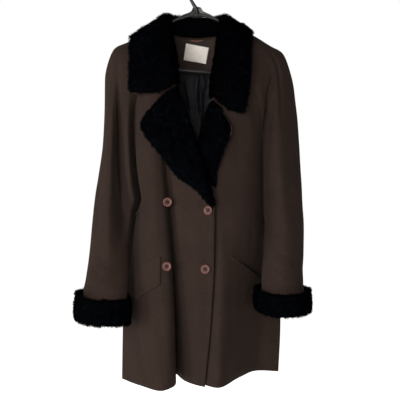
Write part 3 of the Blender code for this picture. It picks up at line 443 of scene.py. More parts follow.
def strip_grid(rows, across, bow, per):
    """Points of a flat piece given by a start and an end point a row."""
    first = table(range(len(rows)), [r[0] for r in rows])
    last = table(range(len(rows)), [r[1] for r in rows])
    grid = []
    for v in stations(len(rows) - 1, per):
        a, b = first(v), last(v)
        line = []
        for i in range(across + 1):
            f = i / across
            p = a + (b - a) * f
            p[1] -= bow * math.sin(math.pi * f) * min(1.0, np.linalg.norm(b - a) / 60)
            line.append(p)
        grid.append(line)
    return np.array(grid)


def cuff_grid(rings, around, per):
    """Rings of a cuff; the height changes round the ring."""
    at = table(range(len(rings)), rings)
    grid = []
    for v in stations(len(rings) - 1, per):
        cx, cy, hw, hd, front, outer, back, inner = at(v)
        side = -1 if cx < 0 else 1
        line = []
        for i in range(around + 1):
            a = 2 * math.pi * i / around
            c, s = math.cos(a), math.sin(a)
            x = cx + side * hw * math.copysign(abs(c) ** 0.85, c)
            y = cy - hd * math.copysign(abs(s) ** 0.85, s)
            ends = outer if c > 0 else inner
            face = front if s > 0 else back
            z = ends * c * c + face * s * s
            line.append(np.array((x, y, z)))
        line[-1] = line[0]
        grid.append(line)
    return np.array(grid)


def meet_cuff(grid, cuff, norm, pile):
    """The sleeve's last rows spread out until the last one carries the cuff round it."""
    at = -1 - FINE // 2
    ring = (cuff - norm * pile[..., None])[at]
    centre = ring[:-1].mean(axis=0)
    for j in range(grid.shape[1]):
        d = grid[-1, j] - centre
        angle = math.atan2(d[1], d[0])
        for a, b in zip(ring, ring[1:]):
            way = np.array((math.cos(angle), math.sin(angle)))
            m = np.array(((way[0], a[0] - b[0]), (way[1], a[1] - b[1])))
            if abs(np.linalg.det(m)) < 1e-9:
                continue
            t, u = np.linalg.solve(m, (a - centre)[:2])
            if t > 0 and -1e-9 <= u <= 1 + 1e-9:
                reach = centre[:2] + way * (t - CUFF_CLEAR)
                for k in range(FINE):
                    share = (1 - k / FINE) ** 1.32
                    grid[-1 - k, j, :2] = grid[-1 - k, j, :2] * (1 - share) + reach * share
                break
    grid[-FINE:, -1] = grid[-FINE:, 0]


# ---------------------------------------------------------------- walls
def normals(grid, ring_from=None):
    """Unit normals of a sheet; rows from ring_from on close on themselves."""
    rows, cols = grid.shape[:2]
    out = np.zeros_like(grid)
    for i in range(rows):
        up = grid[max(i - 1, 0)]
        dn = grid[min(i + 1, rows - 1)]
        ring = ring_from is not None and i >= ring_from
        for j in range(cols):
            if ring and j in (0, cols - 1):
                across = grid[i][1] - grid[i][cols - 2]
            else:
                across = grid[i][min(j + 1, cols - 1)] - grid[i][max(j - 1, 0)]
            n = np.cross(across, dn[j] - up[j])
            size = np.linalg.norm(n)
            out[i, j] = n / size if size > 1e-9 else (0, 0, 0)
    if ring_from is not None:
        for i in range(ring_from, rows):
            out[i, -1] = out[i, 0]
    for i in range(rows):
        for j in range(cols):
            if np.linalg.norm(out[i, j]) < 0.5:
                out[i, j] = out[i, max(j - 1, 0)] if j else out[max(i - 1, 0), j]
    return out


def unit(ways):
    """The vectors along the last axis, each made one long."""
    return ways / np.maximum(np.linalg.norm(ways, axis=-1, keepdims=True), 1e-9)


def smoothed(norm):
    """Normals evened out with their neighbours, for an offset without creases."""
    out = norm.copy()
    out[1:-1] = norm[:-2] + 2 * norm[1:-1] + norm[2:]
    out[:, 1:-1] = out[:, :-2] + 2 * out[:, 1:-1] + out[:, 2:]
    return unit(out)


def facing_to(norm, way):
    """Normals turned to the front (way -1) or the back (way 1)."""
    return norm if norm[..., 1].sum() * way > 0 else -norm


def share_normals(first, col_a, second, col_b, rows):
    """Both pieces get the same normals along their seam, so the walls' ends are parallel."""
    for i in rows:
        n = first[i, col_a] + second[i, col_b]
        n /= np.linalg.norm(n)
        first[i, col_a] = n
        second[i, col_b] = n


def pull_in(grid, cols=(), rows=(), by=SEAM / 2 + 0.02):
    """Edge points drawn back along the sheet, which leaves the seam's gap."""
    out = grid.copy()
    for j in cols:
        inner = 1 if j == 0 else grid.shape[1] - 2
        for i in range(grid.shape[0]):
            d = grid[i, inner] - grid[i, j]
            out[i, j] = grid[i, j] + d / max(np.linalg.norm(d), 1e-9) * by
    for i in rows:
        inner = 1 if i == 0 else grid.shape[0] - 2
        for j in range(grid.shape[1]):
            d = grid[inner, j] - grid[i, j]
            out[i, j] = out[i, j] + d / max(np.linalg.norm(d), 1e-9) * by
    return out


# ---------------------------------------------------------------- stage
def build_stage():
    """Camera of the photo, pale floor and soft light, brighter from the photo's left."""
    scene = bpy.context.scene
    scene.view_settings.view_transform = "Standard"
    cam = bpy.data.cameras.new("camera")
    cam.lens = 72
    cam.sensor_width = 36
    eye = bpy.data.objects.new("camera", cam)
    eye.location = [c * MM for c in EYE]
    eye.rotation_euler = (math.pi / 2, 0, 0)
    scene.collection.objects.link(eye)
    scene.camera = eye

    world = bpy.data.worlds.new("studio")
    world.use_nodes = True
    tree = world.node_tree
    light = tree.nodes["Background"]
    light.inputs["Color"].default_value = (1.0, 0.99, 0.975, 1)
    light.inputs["Strength"].default_value = WORLD_LIGHT
    # The camera sees a white wall, brighter than the light that it gives the coat.
    white = tree.nodes.new("ShaderNodeBackground")
    white.inputs["Color"].default_value = (1.0, 0.995, 0.985, 1)
    white.inputs["Strength"].default_value = CAMERA_WHITE
    seen = tree.nodes.new("ShaderNodeLightPath")
    both = tree.nodes.new("ShaderNodeMixShader")
    tree.links.new(seen.outputs["Is Camera Ray"], both.inputs[0])
    tree.links.new(light.outputs[0], both.inputs[1])
    tree.links.new(white.outputs[0], both.inputs[2])
    tree.links.new(both.outputs[0], tree.nodes["World Output"].inputs["Surface"])
    scene.world = world

    for name, place, aim, size, power, colour in LAMPS:
        data = bpy.data.lights.new(name, "AREA")
        data.size = size
        data.energy = power
        data.color = colour
        obj = bpy.data.objects.new(name, data)
        obj.location = place
        obj.rotation_euler = (Vector(aim) - Vector(place)).to_track_quat("-Z", "Y").to_euler()
        scene.collection.objects.link(obj)

    spots = [-FLOOR_HALF + 2 * FLOOR_HALF * i / FLOOR_PARTS for i in range(FLOOR_PARTS + 1)]
    verts = [(x, y, FLOOR_Z) for x in spots for y in spots]
    step = FLOOR_PARTS + 1
    faces = [(a, a + step, a + step + 1, a + 1)
             for i in range(FLOOR_PARTS) for a in range(i * step, i * step + FLOOR_PARTS)]
    mesh = bpy.data.meshes.new("floor")
    mesh.from_pydata(verts, [], faces)
    mesh.materials.append(floor_material())
    floor = bpy.data.objects.new("floor", mesh)
    scene.collection.objects.link(floor)


# ---------------------------------------------------------------- materials
class Nodes:
    """A material's node tree with short calls for what the finishes here need."""

    def __init__(self, name, colour, rough):
        self.mat = bpy.data.materials.new(name)
        self.mat.use_nodes = True
        self.tree = self.mat.node_tree
        self.skin = self.tree.nodes["Principled BSDF"]
        self.skin.inputs["Base Color"].default_value = (*colour, 1)
        self.skin.inputs["Roughness"].default_value = rough

    def new(self, kind, **values):
        node = self.tree.nodes.new("ShaderNode" + kind)
        for key, value in values.items():
            setattr(node, key, value)
        return node

    def link(self, a, b):
        self.tree.links.new(a, b)

    def place(self):
        return self.new("TexCoord").outputs["Object"]

    def woven(self):
        return self.new("UVMap", uv_map="cloth").outputs["UV"]

    def noise(self, where, scale, detail=3.0, rough=0.55):
        node = self.new("TexNoise")
        node.inputs["Scale"].default_value = scale
        node.inputs["Detail"].default_value = detail
        node.inputs["Roughness"].default_value = rough
        self.link(where, node.inputs["Vector"])
        return node.outputs["Fac"]

    def wave(self, where, scale, bend=0.0, direction="DIAGONAL"):
        node = self.new("TexWave", wave_type="BANDS", bands_direction=direction)
        node.inputs["Scale"].default_value = scale
        node.inputs["Distortion"].default_value = bend
        node.inputs["Detail"].default_value = 1.0
        node.inputs["Detail Scale"].default_value = 1.5
        self.link(where, node.inputs["Vector"])
        return node.outputs["Fac"]

    def ramp(self, value, *stops):
        node = self.new("ValToRGB")
        node.color_ramp.elements[0].position = stops[0][0]
        node.color_ramp.elements[0].color = (*stops[0][1], 1)
        node.color_ramp.elements[1].position = stops[-1][0]
        node.color_ramp.elements[1].color = (*stops[-1][1], 1)
        for spot, colour in stops[1:-1]:
            node.color_ramp.elements.new(spot).color = (*colour, 1)
        self.link(value, node.inputs["Fac"])
        return node.outputs["Color"]

    def mix(self, share, a, b):
        """a where share is 0, b where it is 1."""
        node = self.new("Mix", data_type="RGBA")
        self.link(share, node.inputs["Factor"])
        for value, socket in ((a, node.inputs[6]), (b, node.inputs[7])):
            if isinstance(value, tuple):
                socket.default_value = (*value, 1)
            else:
                self.link(value, socket)
        return node.outputs[2]

    def sum(self, a, b, by=1.0):
        """a + b * by"""
        node = self.new("Math", operation="MULTIPLY_ADD")
        self.link(b, node.inputs[0])
        node.inputs[1].default_value = by
        self.link(a, node.inputs[2])
        return node.outputs[0]

    def range(self, value, low, high):
        node = self.new("MapRange")
        node.inputs["To Min"].default_value = low
        node.inputs["To Max"].default_value = high
        self.link(value, node.inputs["Value"])
        return node.outputs["Result"]

    def finish(self, colour=None, rough=None, height=None, depth=0.0004, **plain):
        if colour is not None:
            self.link(colour, self.skin.inputs["Base Color"])
        if rough is not None:
            self.link(rough, self.skin.inputs["Roughness"])
        if height is not None:
            bump = self.new("Bump")
            bump.inputs["Distance"].default_value = depth
            bump.inputs["Strength"].default_value = 1.0
            self.link(height, bump.inputs["Height"])
            self.link(bump.outputs["Normal"], self.skin.inputs["Normal"])
        for key, value in plain.items():
            self.skin.inputs[key.replace("_", " ")].default_value = value
        return self.mat


def floor_material():
    """Pale floor, which looks brighter to the camera than the light it gives the coat."""
    n = Nodes("floor", (0.9, 0.89, 0.875), 0.9)
    at = n.place()
    tone = n.ramp(n.noise(at, 1.3), (0.3, (0.88, 0.875, 0.86)), (0.7, (0.92, 0.915, 0.905)))
    seen = n.new("LightPath").outputs["Is Camera Ray"]
    n.link(n.range(seen, 0.1, 0.1 + FLOOR_GLOW), n.skin.inputs["Emission Strength"])
    return n.finish(tone, height=n.noise(at, 60.0), depth=0.0003,
                    Emission_Color=(1.0, 0.99, 0.975, 1))


def wool_material(name="wool", dark=(0.0112, 0.0067, 0.0051), light=(0.0352, 0.0215, 0.0167)):
    """Brown wool twill: fine diagonal lines, a soft nap and faint uneven dyeing."""
    n = Nodes(name, dark, 0.86)
    at = n.place()
    twill = n.wave(n.woven(), 175.0, 0.6)
    nap = n.noise(at, 330.0, 4.0, 0.7)
    broad = n.noise(at, 14.0, 2.0)
    tone = n.sum(n.sum(n.range(nap, -0.75, 1.05), twill, 0.3), broad, 0.5)
    colour = n.ramp(tone, (0.05, dark), (1.0, light))
    return n.finish(colour, n.range(nap, 0.78, 0.95), n.sum(nap, twill, 0.6), 0.00045,
                    Sheen_Weight=0.05, Sheen_Roughness=0.45, Sheen_Tint=(0.75, 0.6, 0.52, 1),
                    Specular_IOR_Level=0.12)


def satin_material():
    """Near-black acetate lining with a soft shine and a faint cross weave."""
    n = Nodes("satin", (0.012, 0.0115, 0.0125), 0.38)
    at = n.place()
    weave = n.wave(n.woven(), 420.0, 0.2, "X")
    cloud = n.noise(at, 30.0, 3.0)
    colour = n.ramp(cloud, (0.3, (0.0030, 0.0035, 0.0056)), (0.7, (0.0072, 0.0084, 0.0120)))
    return n.finish(colour, n.range(cloud, 0.36, 0.5), n.sum(weave, cloud, 2.0), 0.00012,
                    Sheen_Weight=0.03, Sheen_Roughness=0.3, Specular_IOR_Level=0.22)


def facing_material(name="facing", dark=(0.0175, 0.0105, 0.0078), light=(0.038, 0.0245, 0.0185)):
    """Brown facing cloth inside the neck, and the paler cut edges of the fur's backing."""
    n = Nodes(name, dark, 0.7)
    at = n.place()
    weave = n.wave(n.woven(), 230.0, 0.4)
    cloud = n.noise(at, 55.0, 4.0)
    colour = n.ramp(n.sum(cloud, weave, 0.2), (0.35, dark), (0.85, light))
    return n.finish(colour, n.range(cloud, 0.6, 0.8), n.sum(weave, cloud, 0.8), 0.00025,
                    Sheen_Weight=0.04, Specular_IOR_Level=0.2)


def fur_material():
    """Black plush: near-black at the roots as painted shade in the pile, with cool tips lighter in
    patches as painted highlights.
    """
    n = Nodes("fur", (0.0008, 0.001, 0.0016), 0.7)
    at = n.place()
    tuft = n.noise(at, 95.0, 4.0, 0.62)
    broad = n.noise(at, 28.0, 2.0)
    hair = n.new("Attribute", attribute_name="tip").outputs["Fac"]
    # Painted highlights: cool lighter patches on the tips, as light catches ridges of the pile.
    tip_highlight_patches = n.ramp(n.sum(tuft, broad, 0.35), (0.5, (0.0003, 0.0005, 0.0011)),
                  (0.68, (0.0008, 0.0012, 0.0023)), (0.82, (0.0024, 0.0033, 0.0055)),
                  (0.92, (0.0062, 0.0080, 0.0120)))
    # Painted shade: the colour falls to near black towards the skin and roots, deep in the pile.
    colour = n.mix(hair, (0.00005, 0.0001, 0.0003), tip_highlight_patches)
    return n.finish(colour, n.range(tuft, 0.6, 0.8), n.noise(at, 900.0, 2.0), 0.0002,
                    Specular_IOR_Level=0.012)


def plastic_material():
    """Black moulded plastic with a fine skin and slight scuffs."""
    n = Nodes("plastic", (0.011, 0.0105, 0.0105), 0.36)
    at = n.place()
    scuff = n.noise(at, 160.0, 5.0, 0.7)
    fine = n.noise(at, 1400.0, 2.0)
    colour = n.ramp(scuff, (0.4, (0.006, 0.0056, 0.0058)), (0.72, (0.016, 0.015, 0.0155)))
    return n.finish(colour, n.range(scuff, 0.28, 0.5), n.sum(fine, scuff, 0.7), 0.00008,
                    Specular_IOR_Level=0.5)


def button_material():
    """Reddish-brown moulded button with marbling, paler and pinker towards its rim."""
    n = Nodes("button", (0.09, 0.04, 0.034), 0.36)
    at = n.place()
    swirl = n.noise(at, 110.0, 5.0, 0.65)
    rim = n.new("Attribute", attribute_name="rim").outputs["Fac"]
    heart = n.ramp(swirl, (0.3, (0.020, 0.0045, 0.0038)), (0.55, (0.040, 0.010, 0.0085)),
                   (0.75, (0.070, 0.023, 0.020)))
    pale = n.ramp(swirl, (0.3, (0.080, 0.030, 0.026)), (0.7, (0.175, 0.078, 0.069)))
    return n.finish(n.mix(rim, heart, pale), n.range(swirl, 0.36, 0.52), n.noise(at, 700.0, 2.0),
                    0.00005, Coat_Weight=0.04, Coat_Roughness=0.3, Specular_IOR_Level=0.2)


def thread_material(name, dark, light, sheen=0.2):
    """Twisted sewing thread."""
    n = Nodes(name, dark, 0.7)
    at = n.place()
    ply = n.noise(at, 2200.0, 2.0)
    return n.finish(n.ramp(ply, (0.35, dark), (0.65, light)), n.range(ply, 0.6, 0.8), ply, 0.0001,
                    Sheen_Weight=sheen)


def label_material():
    """Off-white woven label, left blank."""
    n = Nodes("label", (0.62, 0.575, 0.52), 0.6)
    at = n.place()
    weft = n.wave(n.woven(), 520.0, 0.1, "Y")
    warp = n.wave(n.woven(), 420.0, 0.1, "X")
    soil = n.noise(at, 60.0, 4.0)
    tone = n.ramp(n.sum(soil, weft, 0.15), (0.35, (0.86, 0.79, 0.71)), (0.75, (0.95, 0.9, 0.83)))
    return n.finish(tone, n.range(weft, 0.5, 0.68), n.sum(weft, warp, 0.7), 0.00012,
                    Sheen_Weight=0.2)


def loop_material():
    """Reddish-brown braid of the hanging loop."""
    n = Nodes("loop", (0.11, 0.035, 0.025), 0.6)
    at = n.place()
    braid = n.wave(at, 260.0, 1.0, "DIAGONAL")
    tone = n.ramp(braid, (0.2, (0.06, 0.018, 0.013)), (0.8, (0.17, 0.06, 0.045)))
    return n.finish(tone, n.range(braid, 0.5, 0.75), braid, 0.0003, Sheen_Weight=0.2)


# ---------------------------------------------------------------- fine sheets
def mesh_object(name, verts, faces, mats, slots=None, uvs=None):
    """A piece from points in millimetres, smooth, with a map named cloth if uvs are given."""
    mesh = bpy.data.meshes.new(name)
    mesh.from_pydata((np.asarray(verts, float) * MM).tolist(), [], faces)
    for mat in mats:
        mesh.materials.append(mat)
    if slots is not None:
        mesh.polygons.foreach_set("material_index", slots)
    mesh.polygons.foreach_set("use_smooth", [True] * len(mesh.polygons))
    if uvs is not None:
        layer = mesh.uv_layers.new(name="cloth")
        layer.data.foreach_set("uv", np.asarray(uvs, np.float32).ravel())
    mesh.update()
    obj = bpy.data.objects.new(name, mesh)
    bpy.context.scene.collection.objects.link(obj)
    return obj


def volume(verts, faces):
    """Six times the volume inside closed faces, below zero where they face inwards."""
    pts = np.asarray(verts, float)
    total = 0.0
    for face in faces:
        for k in range(1, len(face) - 1):
            total += pts[face[0]] @ np.cross(pts[face[k]], pts[face[k + 1]])
    return total


def facing_out(verts, faces, first=None):
    """The faces, all turned round if the first ones, a closed form, face inwards."""
    return [f[::-1] for f in faces] if volume(verts, faces[:first]) < 0 else faces


def join_rings(verts, faces, rings, caps=(True, True)):
    """Rings of points added to a mesh and joined by quads, with caps on the ends named."""
    base = len(verts)
    sides = len(rings[0])
    for ring in rings:
        verts.extend(ring)
    last = base + (len(rings) - 1) * sides
    for a in range(base, last, sides):
        for s in range(sides):
            k = (s + 1) % sides
            faces.append([a + s, a + k, a + sides + k, a + sides + s])
    if caps[0]:
        faces.append([base + s for s in range(sides)][::-1])
    if caps[1]:
        faces.append([last + s for s in range(sides)])


def heading(line, i):
    """Unit direction of a line at its point i."""
    ahead = line[min(i + 1, len(line) - 1)] - line[max(i - 1, 0)]
    return ahead / max(np.linalg.norm(ahead), 1e-9)


def lengths(grid):
    """Distances across and along a sheet, in metres."""
    across = np.zeros(grid.shape[:2])
    along = np.zeros(grid.shape[:2])
    across[:, 1:] = np.cumsum(np.linalg.norm(np.diff(grid, axis=1), axis=2), axis=1)
    along[1:] = np.cumsum(np.linalg.norm(np.diff(grid, axis=0), axis=2), axis=0)
    return across * MM, along * MM


def cloth(name, grid, norm, thick, mats, ring_from=None, inner=None):
    """A sheet made solid with rounded rims. inner(i, j) picks the material of its inside."""
    rows, cols = grid.shape[:2]
    thick = np.broadcast_to(np.asarray(thick, float), (rows, cols))
    u, v = lengths(grid)
    verts = []
    index = np.zeros((2, rows, cols), int)
    for side in (0, 1):
        for i in range(rows):
            for j in range(cols):
                if ring_from is not None and i >= ring_from and j == cols - 1:
                    index[side, i, j] = index[side, i, 0]
                    continue
                index[side, i, j] = len(verts)
                verts.append(grid[i, j] - norm[i, j] * thick[i, j] * side)
    rim = {}

    def rim_point(i, j):
        """A point halfway round the rim, pushed out a little."""
        if ring_from is not None and i >= ring_from and j == cols - 1:
            j = 0
        if (i, j) not in rim:
            away = np.zeros(3)
            if i in (0, rows - 1):
                away += grid[i, j] - grid[1 if i == 0 else rows - 2, j]
            if j in (0, cols - 1) and not (ring_from is not None and i >= ring_from):
                away += grid[i, j] - grid[i, 1 if j == 0 else cols - 2]
            away /= max(np.linalg.norm(away), 1e-9)
            rim[(i, j)] = len(verts)
            half = thick[i, j] / 2
            verts.append(grid[i, j] - norm[i, j] * half + away * min(half * 0.7, RIM_OUT))
        return rim[(i, j)]

    faces = []
    slots = []
    uvs = []

    def face(corners, spots, slot):
        keep = [(int(c), s) for k, (c, s) in enumerate(zip(corners, spots)) if c not in corners[:k]]
        if len(keep) < 3:
            return
        faces.append([c for c, _ in keep])
        slots.append(slot)
        uvs.extend((u[s], v[s]) for _, s in keep)

    o, n = index
    for i in range(rows - 1):
        for j in range(cols - 1):
            at = [(i, j), (i + 1, j), (i + 1, j + 1), (i, j + 1)]
            face([o[s] for s in at], at, 0)
            at = at[::-1]
            face([n[s] for s in at], at, inner(i, j) if inner else 0)
    edges = [[(0, j), (0, j + 1)] for j in range(cols - 1)]
    edges += [[(rows - 1, j + 1), (rows - 1, j)] for j in range(cols - 1)]
    for i in range(rows - 1):
        if ring_from is None or i < ring_from:
            edges.append([(i + 1, 0), (i, 0)])
            edges.append([(i, cols - 1), (i + 1, cols - 1)])
    for a, b in edges:
        p, q = rim_point(*a), rim_point(*b)
        face([o[a], o[b], q, p], [a, b, b, a], 0)
        face([p, q, n[b], n[a]], [a, b, b, a], 0)
    if volume(verts, faces) < 0:
        start = 0
        for k, f in enumerate(faces):
            count = len(f)
            uvs[start:start + count] = uvs[start:start + count][::-1]
            faces[k] = f[::-1]
            start += count
    return mesh_object(name, verts, faces, mats, slots, uvs)


def extra_columns(grid, sides):
    """Columns 1.2 and 3.6 mm inside the first and last ones, so that a seam can dip there."""
    out = [grid[:, k] for k in range(grid.shape[1])]
    for side in sides:
        a, b = (out[0], out[1]) if side == 0 else (out[-1], out[-2])
        size = np.linalg.norm(b - a, axis=1, keepdims=True)
        near = [a + (b - a) * np.minimum(d / np.maximum(size, 1e-6), part)
                for d, part in ((1.2, 0.3), (3.6, 0.65))]
        if side == 0:
            out[1:1] = near
        else:
            out[-1:-1] = near[::-1]
    return np.stack(out, axis=1)


def seam_dip(grid, norm, sides, deep=0.8):
    """The outer face sinks towards a seam."""
    out = grid.copy()
    for side in sides:
        for k, share in ((0, 1.0), (1, 0.45), (2, 0.08)):
            j = k if side == 0 else grid.shape[1] - 1 - k
            out[:, j] -= norm[:, j] * deep * share
    return out


def sunk_cloth(name, grid, norm, sides, mats, inner=None):
    """A panel whose outer face sinks towards the seams at its sides."""
    wide = extra_columns(grid, sides)
    wide_n = unit(extra_columns(norm, sides))
    return cloth(name, seam_dip(wide, wide_n, sides), wide_n, CLOTH - 0.3, mats, inner=inner)


def crease(grid, norm, line, wide, deep):
    """A soft trough along a line of points, or a ridge where deep is negative.

    It fades at both ends, and its sides rise a little, as cloth does beside a fold.
    """
    pts = np.array(line, float)
    pts = np.array(through(list(pts), [4] * (len(pts) - 1)))
    flat = grid.reshape(-1, 3)
    best = np.full(len(flat), 1e9)
    spot = np.zeros(len(flat))
    run = np.concatenate([[0], np.cumsum(np.linalg.norm(np.diff(pts, axis=0), axis=1))])
    for k in range(len(pts) - 1):
        a, b = pts[k], pts[k + 1]
        ab = b - a
        t = np.clip(((flat - a) @ ab) / max(ab @ ab, 1e-9), 0, 1)
        d = np.linalg.norm(flat - a - t[:, None] * ab, axis=1)
        closer = d < best
        best[closer] = d[closer]
        spot[closer] = (run[k] + t * (run[k + 1] - run[k]))[closer]
    share = spot / run[-1]
    fade = np.clip(np.minimum(share, 1 - share) * 4.0, 0, 1)
    fade = fade * fade * (3 - 2 * fade)
    trough = -deep * np.exp(-(best / wide) ** 2)
    rise = 0.28 * deep * np.exp(-((best - 1.9 * wide) / (0.9 * wide)) ** 2)
    push = trough + rise
    push[best > 4 * wide] = 0
    move = (push * fade).reshape(grid.shape[:2])
    return grid + norm * move[..., None]


def waves(grid, norm, high, seed, long=120.0):
    """Very soft unevenness all over a sheet, as hanging cloth has."""
    rng = np.random.default_rng(seed)
    flat = grid.reshape(-1, 3)
    move = np.zeros(len(flat))
    for _ in range(9):
        way = rng.normal(size=3) * (1.0, 1.0, 0.45)
        way /= np.linalg.norm(way)
        size = long * rng.uniform(0.5, 1.2)
        move += np.sin(flat @ way * 2 * math.pi / size + rng.uniform(0, 6.3)) * size / long
    move *= high / 4
    return grid + norm * move.reshape(grid.shape[:2])[..., None]


def met(tree, x, z, way=1):
    """Where a ray along +Y (way 1) or -Y (way -1) meets a sheet at (x, z), and its normal."""
    return tree.ray_cast(Vector((x, -FAR * way, z)), Vector((0.0, way, 0.0)))[:2]


def on_sheet(tree, spots, way=1):
    """Points (x, z) of a line dropped onto a sheet along +Y, or from behind along -Y."""
    out = []
    for x, z in spots:
        hit = met(tree, x, z, way)[0]
        if hit is None:
            hit = tree.find_nearest(Vector((x, -90.0 * way, z)))[0]
        out.append(tuple(hit))
    return out


def px(x, y, depth=-80.0):
    """(x, z) in millimetres of a photo pixel, for a point at this depth."""
    k = PIXEL * (1 - depth / EYE[1])
    return (EYE[0] + (x - MIDDLE) * k, EYE[2] - (y - MIDDLE) * k)


def inset(grid, norm, side, distance, lift=0.2):
    """A line on the outer face at a fixed distance inside the first (0) or last (-1) column."""
    out = []
    for i in range(grid.shape[0]):
        row = grid[i] if side == 0 else grid[i][::-1]
        nor = norm[i] if side == 0 else norm[i][::-1]
        run = 0.0
        for k in range(len(row) - 1):
            step = np.linalg.norm(row[k + 1] - row[k])
            if run + step >= distance:
                f = (distance - run) / step
                out.append((row[k] + (row[k + 1] - row[k]) * f + nor[k] * lift, nor[k]))
                break
            run += step
    return out


def inset_row(grid, norm, side, distance, lift):
    """As inset, inside the first (0) or last (-1) row."""
    return inset(grid.transpose(1, 0, 2), norm.transpose(1, 0, 2), side, distance, lift)


def sewing(name, lines, mat, length=2.9, gap=1.0, wide=0.34):
    """Rows of thread stitches as one mesh. A line is a list of (point, normal)."""
    verts = []
    faces = []
    for line in lines:
        pts = np.array([p for p, _ in line])
        nor = np.array([n for _, n in line])
        run = np.concatenate([[0], np.cumsum(np.linalg.norm(np.diff(pts, axis=0), axis=1))])
        count = int(run[-1] / (length + gap))
        for k in range(count):
            start = k * (length + gap) + gap / 2
            ring = []
            for t, size in ((0, 0.15), (0.2, 1.0), (0.8, 1.0), (1, 0.15)):
                s = start + length * t
                p = np.array([np.interp(s, run, pts[:, c]) for c in range(3)])
                n = np.array([np.interp(s, run, nor[:, c]) for c in range(3)])
                q = np.array([np.interp(s + 0.5, run, pts[:, c]) for c in range(3)]) - p
                side = np.cross(q, n)
                side /= max(np.linalg.norm(side), 1e-9)
                n /= max(np.linalg.norm(n), 1e-9)
                ring.append([p + side * wide * size, p + n * wide * size * 0.8,
                             p - side * wide * size, p - n * wide * size])
            join_rings(verts, faces, ring)
    return mesh_object(name, verts, facing_out(verts, faces, STITCH_FACES), [mat])


def fur(name, verts, faces, hairy, lay, count, length, mat, seed):
    """A skin with a pile of small curved tufts on its hairy faces.

    lay is the way the pile lies at each point of the skin.
    """
    rng = np.random.default_rng(seed)
    pts = np.asarray(verts, float)
    tris = []
    for f, on in zip(faces, hairy):
        if on:
            tris.extend((f[0], f[k], f[k + 1]) for k in range(1, len(f) - 1))
    tris = np.array(tris)
    a, b, c = pts[tris[:, 0]], pts[tris[:, 1]], pts[tris[:, 2]]
    face_n = np.cross(b - a, c - a)
    area = np.linalg.norm(face_n, axis=1) / 2
    vertex_n = np.zeros_like(pts)
    for k in range(3):
        np.add.at(vertex_n, tris[:, k], face_n)
    vertex_n = unit(vertex_n)
    pick = rng.choice(len(tris), size=count, p=area / area.sum())
    r1 = np.sqrt(rng.random(count))[:, None]
    r2 = rng.random(count)[:, None]
    w = (1 - r1, r1 * (1 - r2), r1 * r2)
    t = tris[pick]
    root = sum(w[k] * pts[t[:, k]] for k in range(3))
    n = sum(w[k] * vertex_n[t[:, k]] for k in range(3))
    n = unit(n)
    way = sum(w[k] * np.asarray(lay)[t[:, k]] for k in range(3))
    way -= n * (way * n).sum(1, keepdims=True)
    way = unit(way)
    side = np.cross(n, way)

    def drift(size, phase):
        """A smooth field over the skin, which makes neighbouring hairs lean together."""
        total = np.zeros(count)
        local = np.random.default_rng(phase)
        for _ in range(6):
            d = local.normal(size=3)
            d /= np.linalg.norm(d)
            long = size * local.uniform(0.6, 1.5)
            total += np.sin(root @ d * 2 * math.pi / long + local.uniform(0, 6.3))
        return (total / 2.4)[:, None]
    swirl = drift(16.0, seed + 1)
    stand = drift(12.0, seed + 2)
    part = drift(7.0, seed + 3)
    up = TUFT_LIFT * (1 + 0.4 * stand) + rng.normal(0, 0.16, (count, 1))
    lean = 0.35 * swirl + rng.normal(0, 0.22, (count, 1))
    d1 = n * np.maximum(up + 0.35, 0.15) + way + side * lean
    d1 = unit(d1)
    lean = 0.55 * swirl + 0.3 * part + rng.normal(0, 0.3, (count, 1))
    d2 = n * np.maximum(up - 0.25, -0.05) + way + side * lean
    d2 = unit(d2)
    size = length * np.maximum(1 + 0.22 * part + rng.normal(0, 0.2, (count, 1)), 0.3)
    mid = root + d1 * size * 0.45
    tip = mid + d2 * size * 0.55
    flat = np.cross(d1, n)
    flat = unit(flat)
    turn = rng.uniform(-0.9, 0.9, (count, 1))
    flat = flat * np.cos(turn) + n * np.sin(turn)
    broad = HAIR_WIDTH * rng.uniform(0.7, 1.3, (count, 1))
    hair = np.stack([root - flat * broad * 0.5, root + flat * broad * 0.5,
                     mid + flat * broad * 0.42, mid - flat * broad * 0.42, tip], axis=1)
    base = len(pts) + 5 * np.arange(count)
    total = np.concatenate([pts, hair.reshape(-1, 3)])
    # shade runs from 0 on the skin and roots to 1 at the tips; the fur material paints the low end
    # near black as shade deep in the pile.
    shade = np.concatenate([np.zeros(len(pts)), np.tile([0.05, 0.05, 0.55, 0.55, 1.0], count)])
    quads = np.stack([base, base + 1, base + 2, base + 3], axis=1)
    tips = np.stack([base + 3, base + 2, base + 4], axis=1)
    loops = np.concatenate([np.array(f) for f in faces] + [quads.ravel(), tips.ravel()])
    sizes = np.concatenate([[len(f) for f in faces], np.full(count, 4), np.full(count, 3)])
    mesh = bpy.data.meshes.new(name)
    mesh.vertices.add(len(total))
    mesh.vertices.foreach_set("co", (total * MM).astype(np.float32).ravel())
    mesh.loops.add(len(loops))
    mesh.loops.foreach_set("vertex_index", loops.astype(np.int32))
    mesh.polygons.add(len(sizes))
    starts = np.concatenate([[0], np.cumsum(sizes)[:-1]])
    mesh.polygons.foreach_set("loop_start", starts.astype(np.int32))
    mesh.update(calc_edges=True)
    mesh.polygons.foreach_set("use_smooth", [True] * len(sizes))
    mesh.attributes.new("tip", "FLOAT", "POINT").data.foreach_set("value", shade.astype(np.float32))
    soft = np.concatenate([vertex_n, np.repeat(n, 5, axis=0) * 0.75 + np.repeat(d1, 5, axis=0) * 0.2
                           + np.repeat(np.cross(flat, d1), 5, axis=0) * 0.25])
    soft = unit(soft)
    mesh.normals_split_custom_set_from_vertices(soft.tolist())
    mesh.materials.append(mat)
    obj = bpy.data.objects.new(name, mesh)
    bpy.context.scene.collection.objects.link(obj)
    return obj


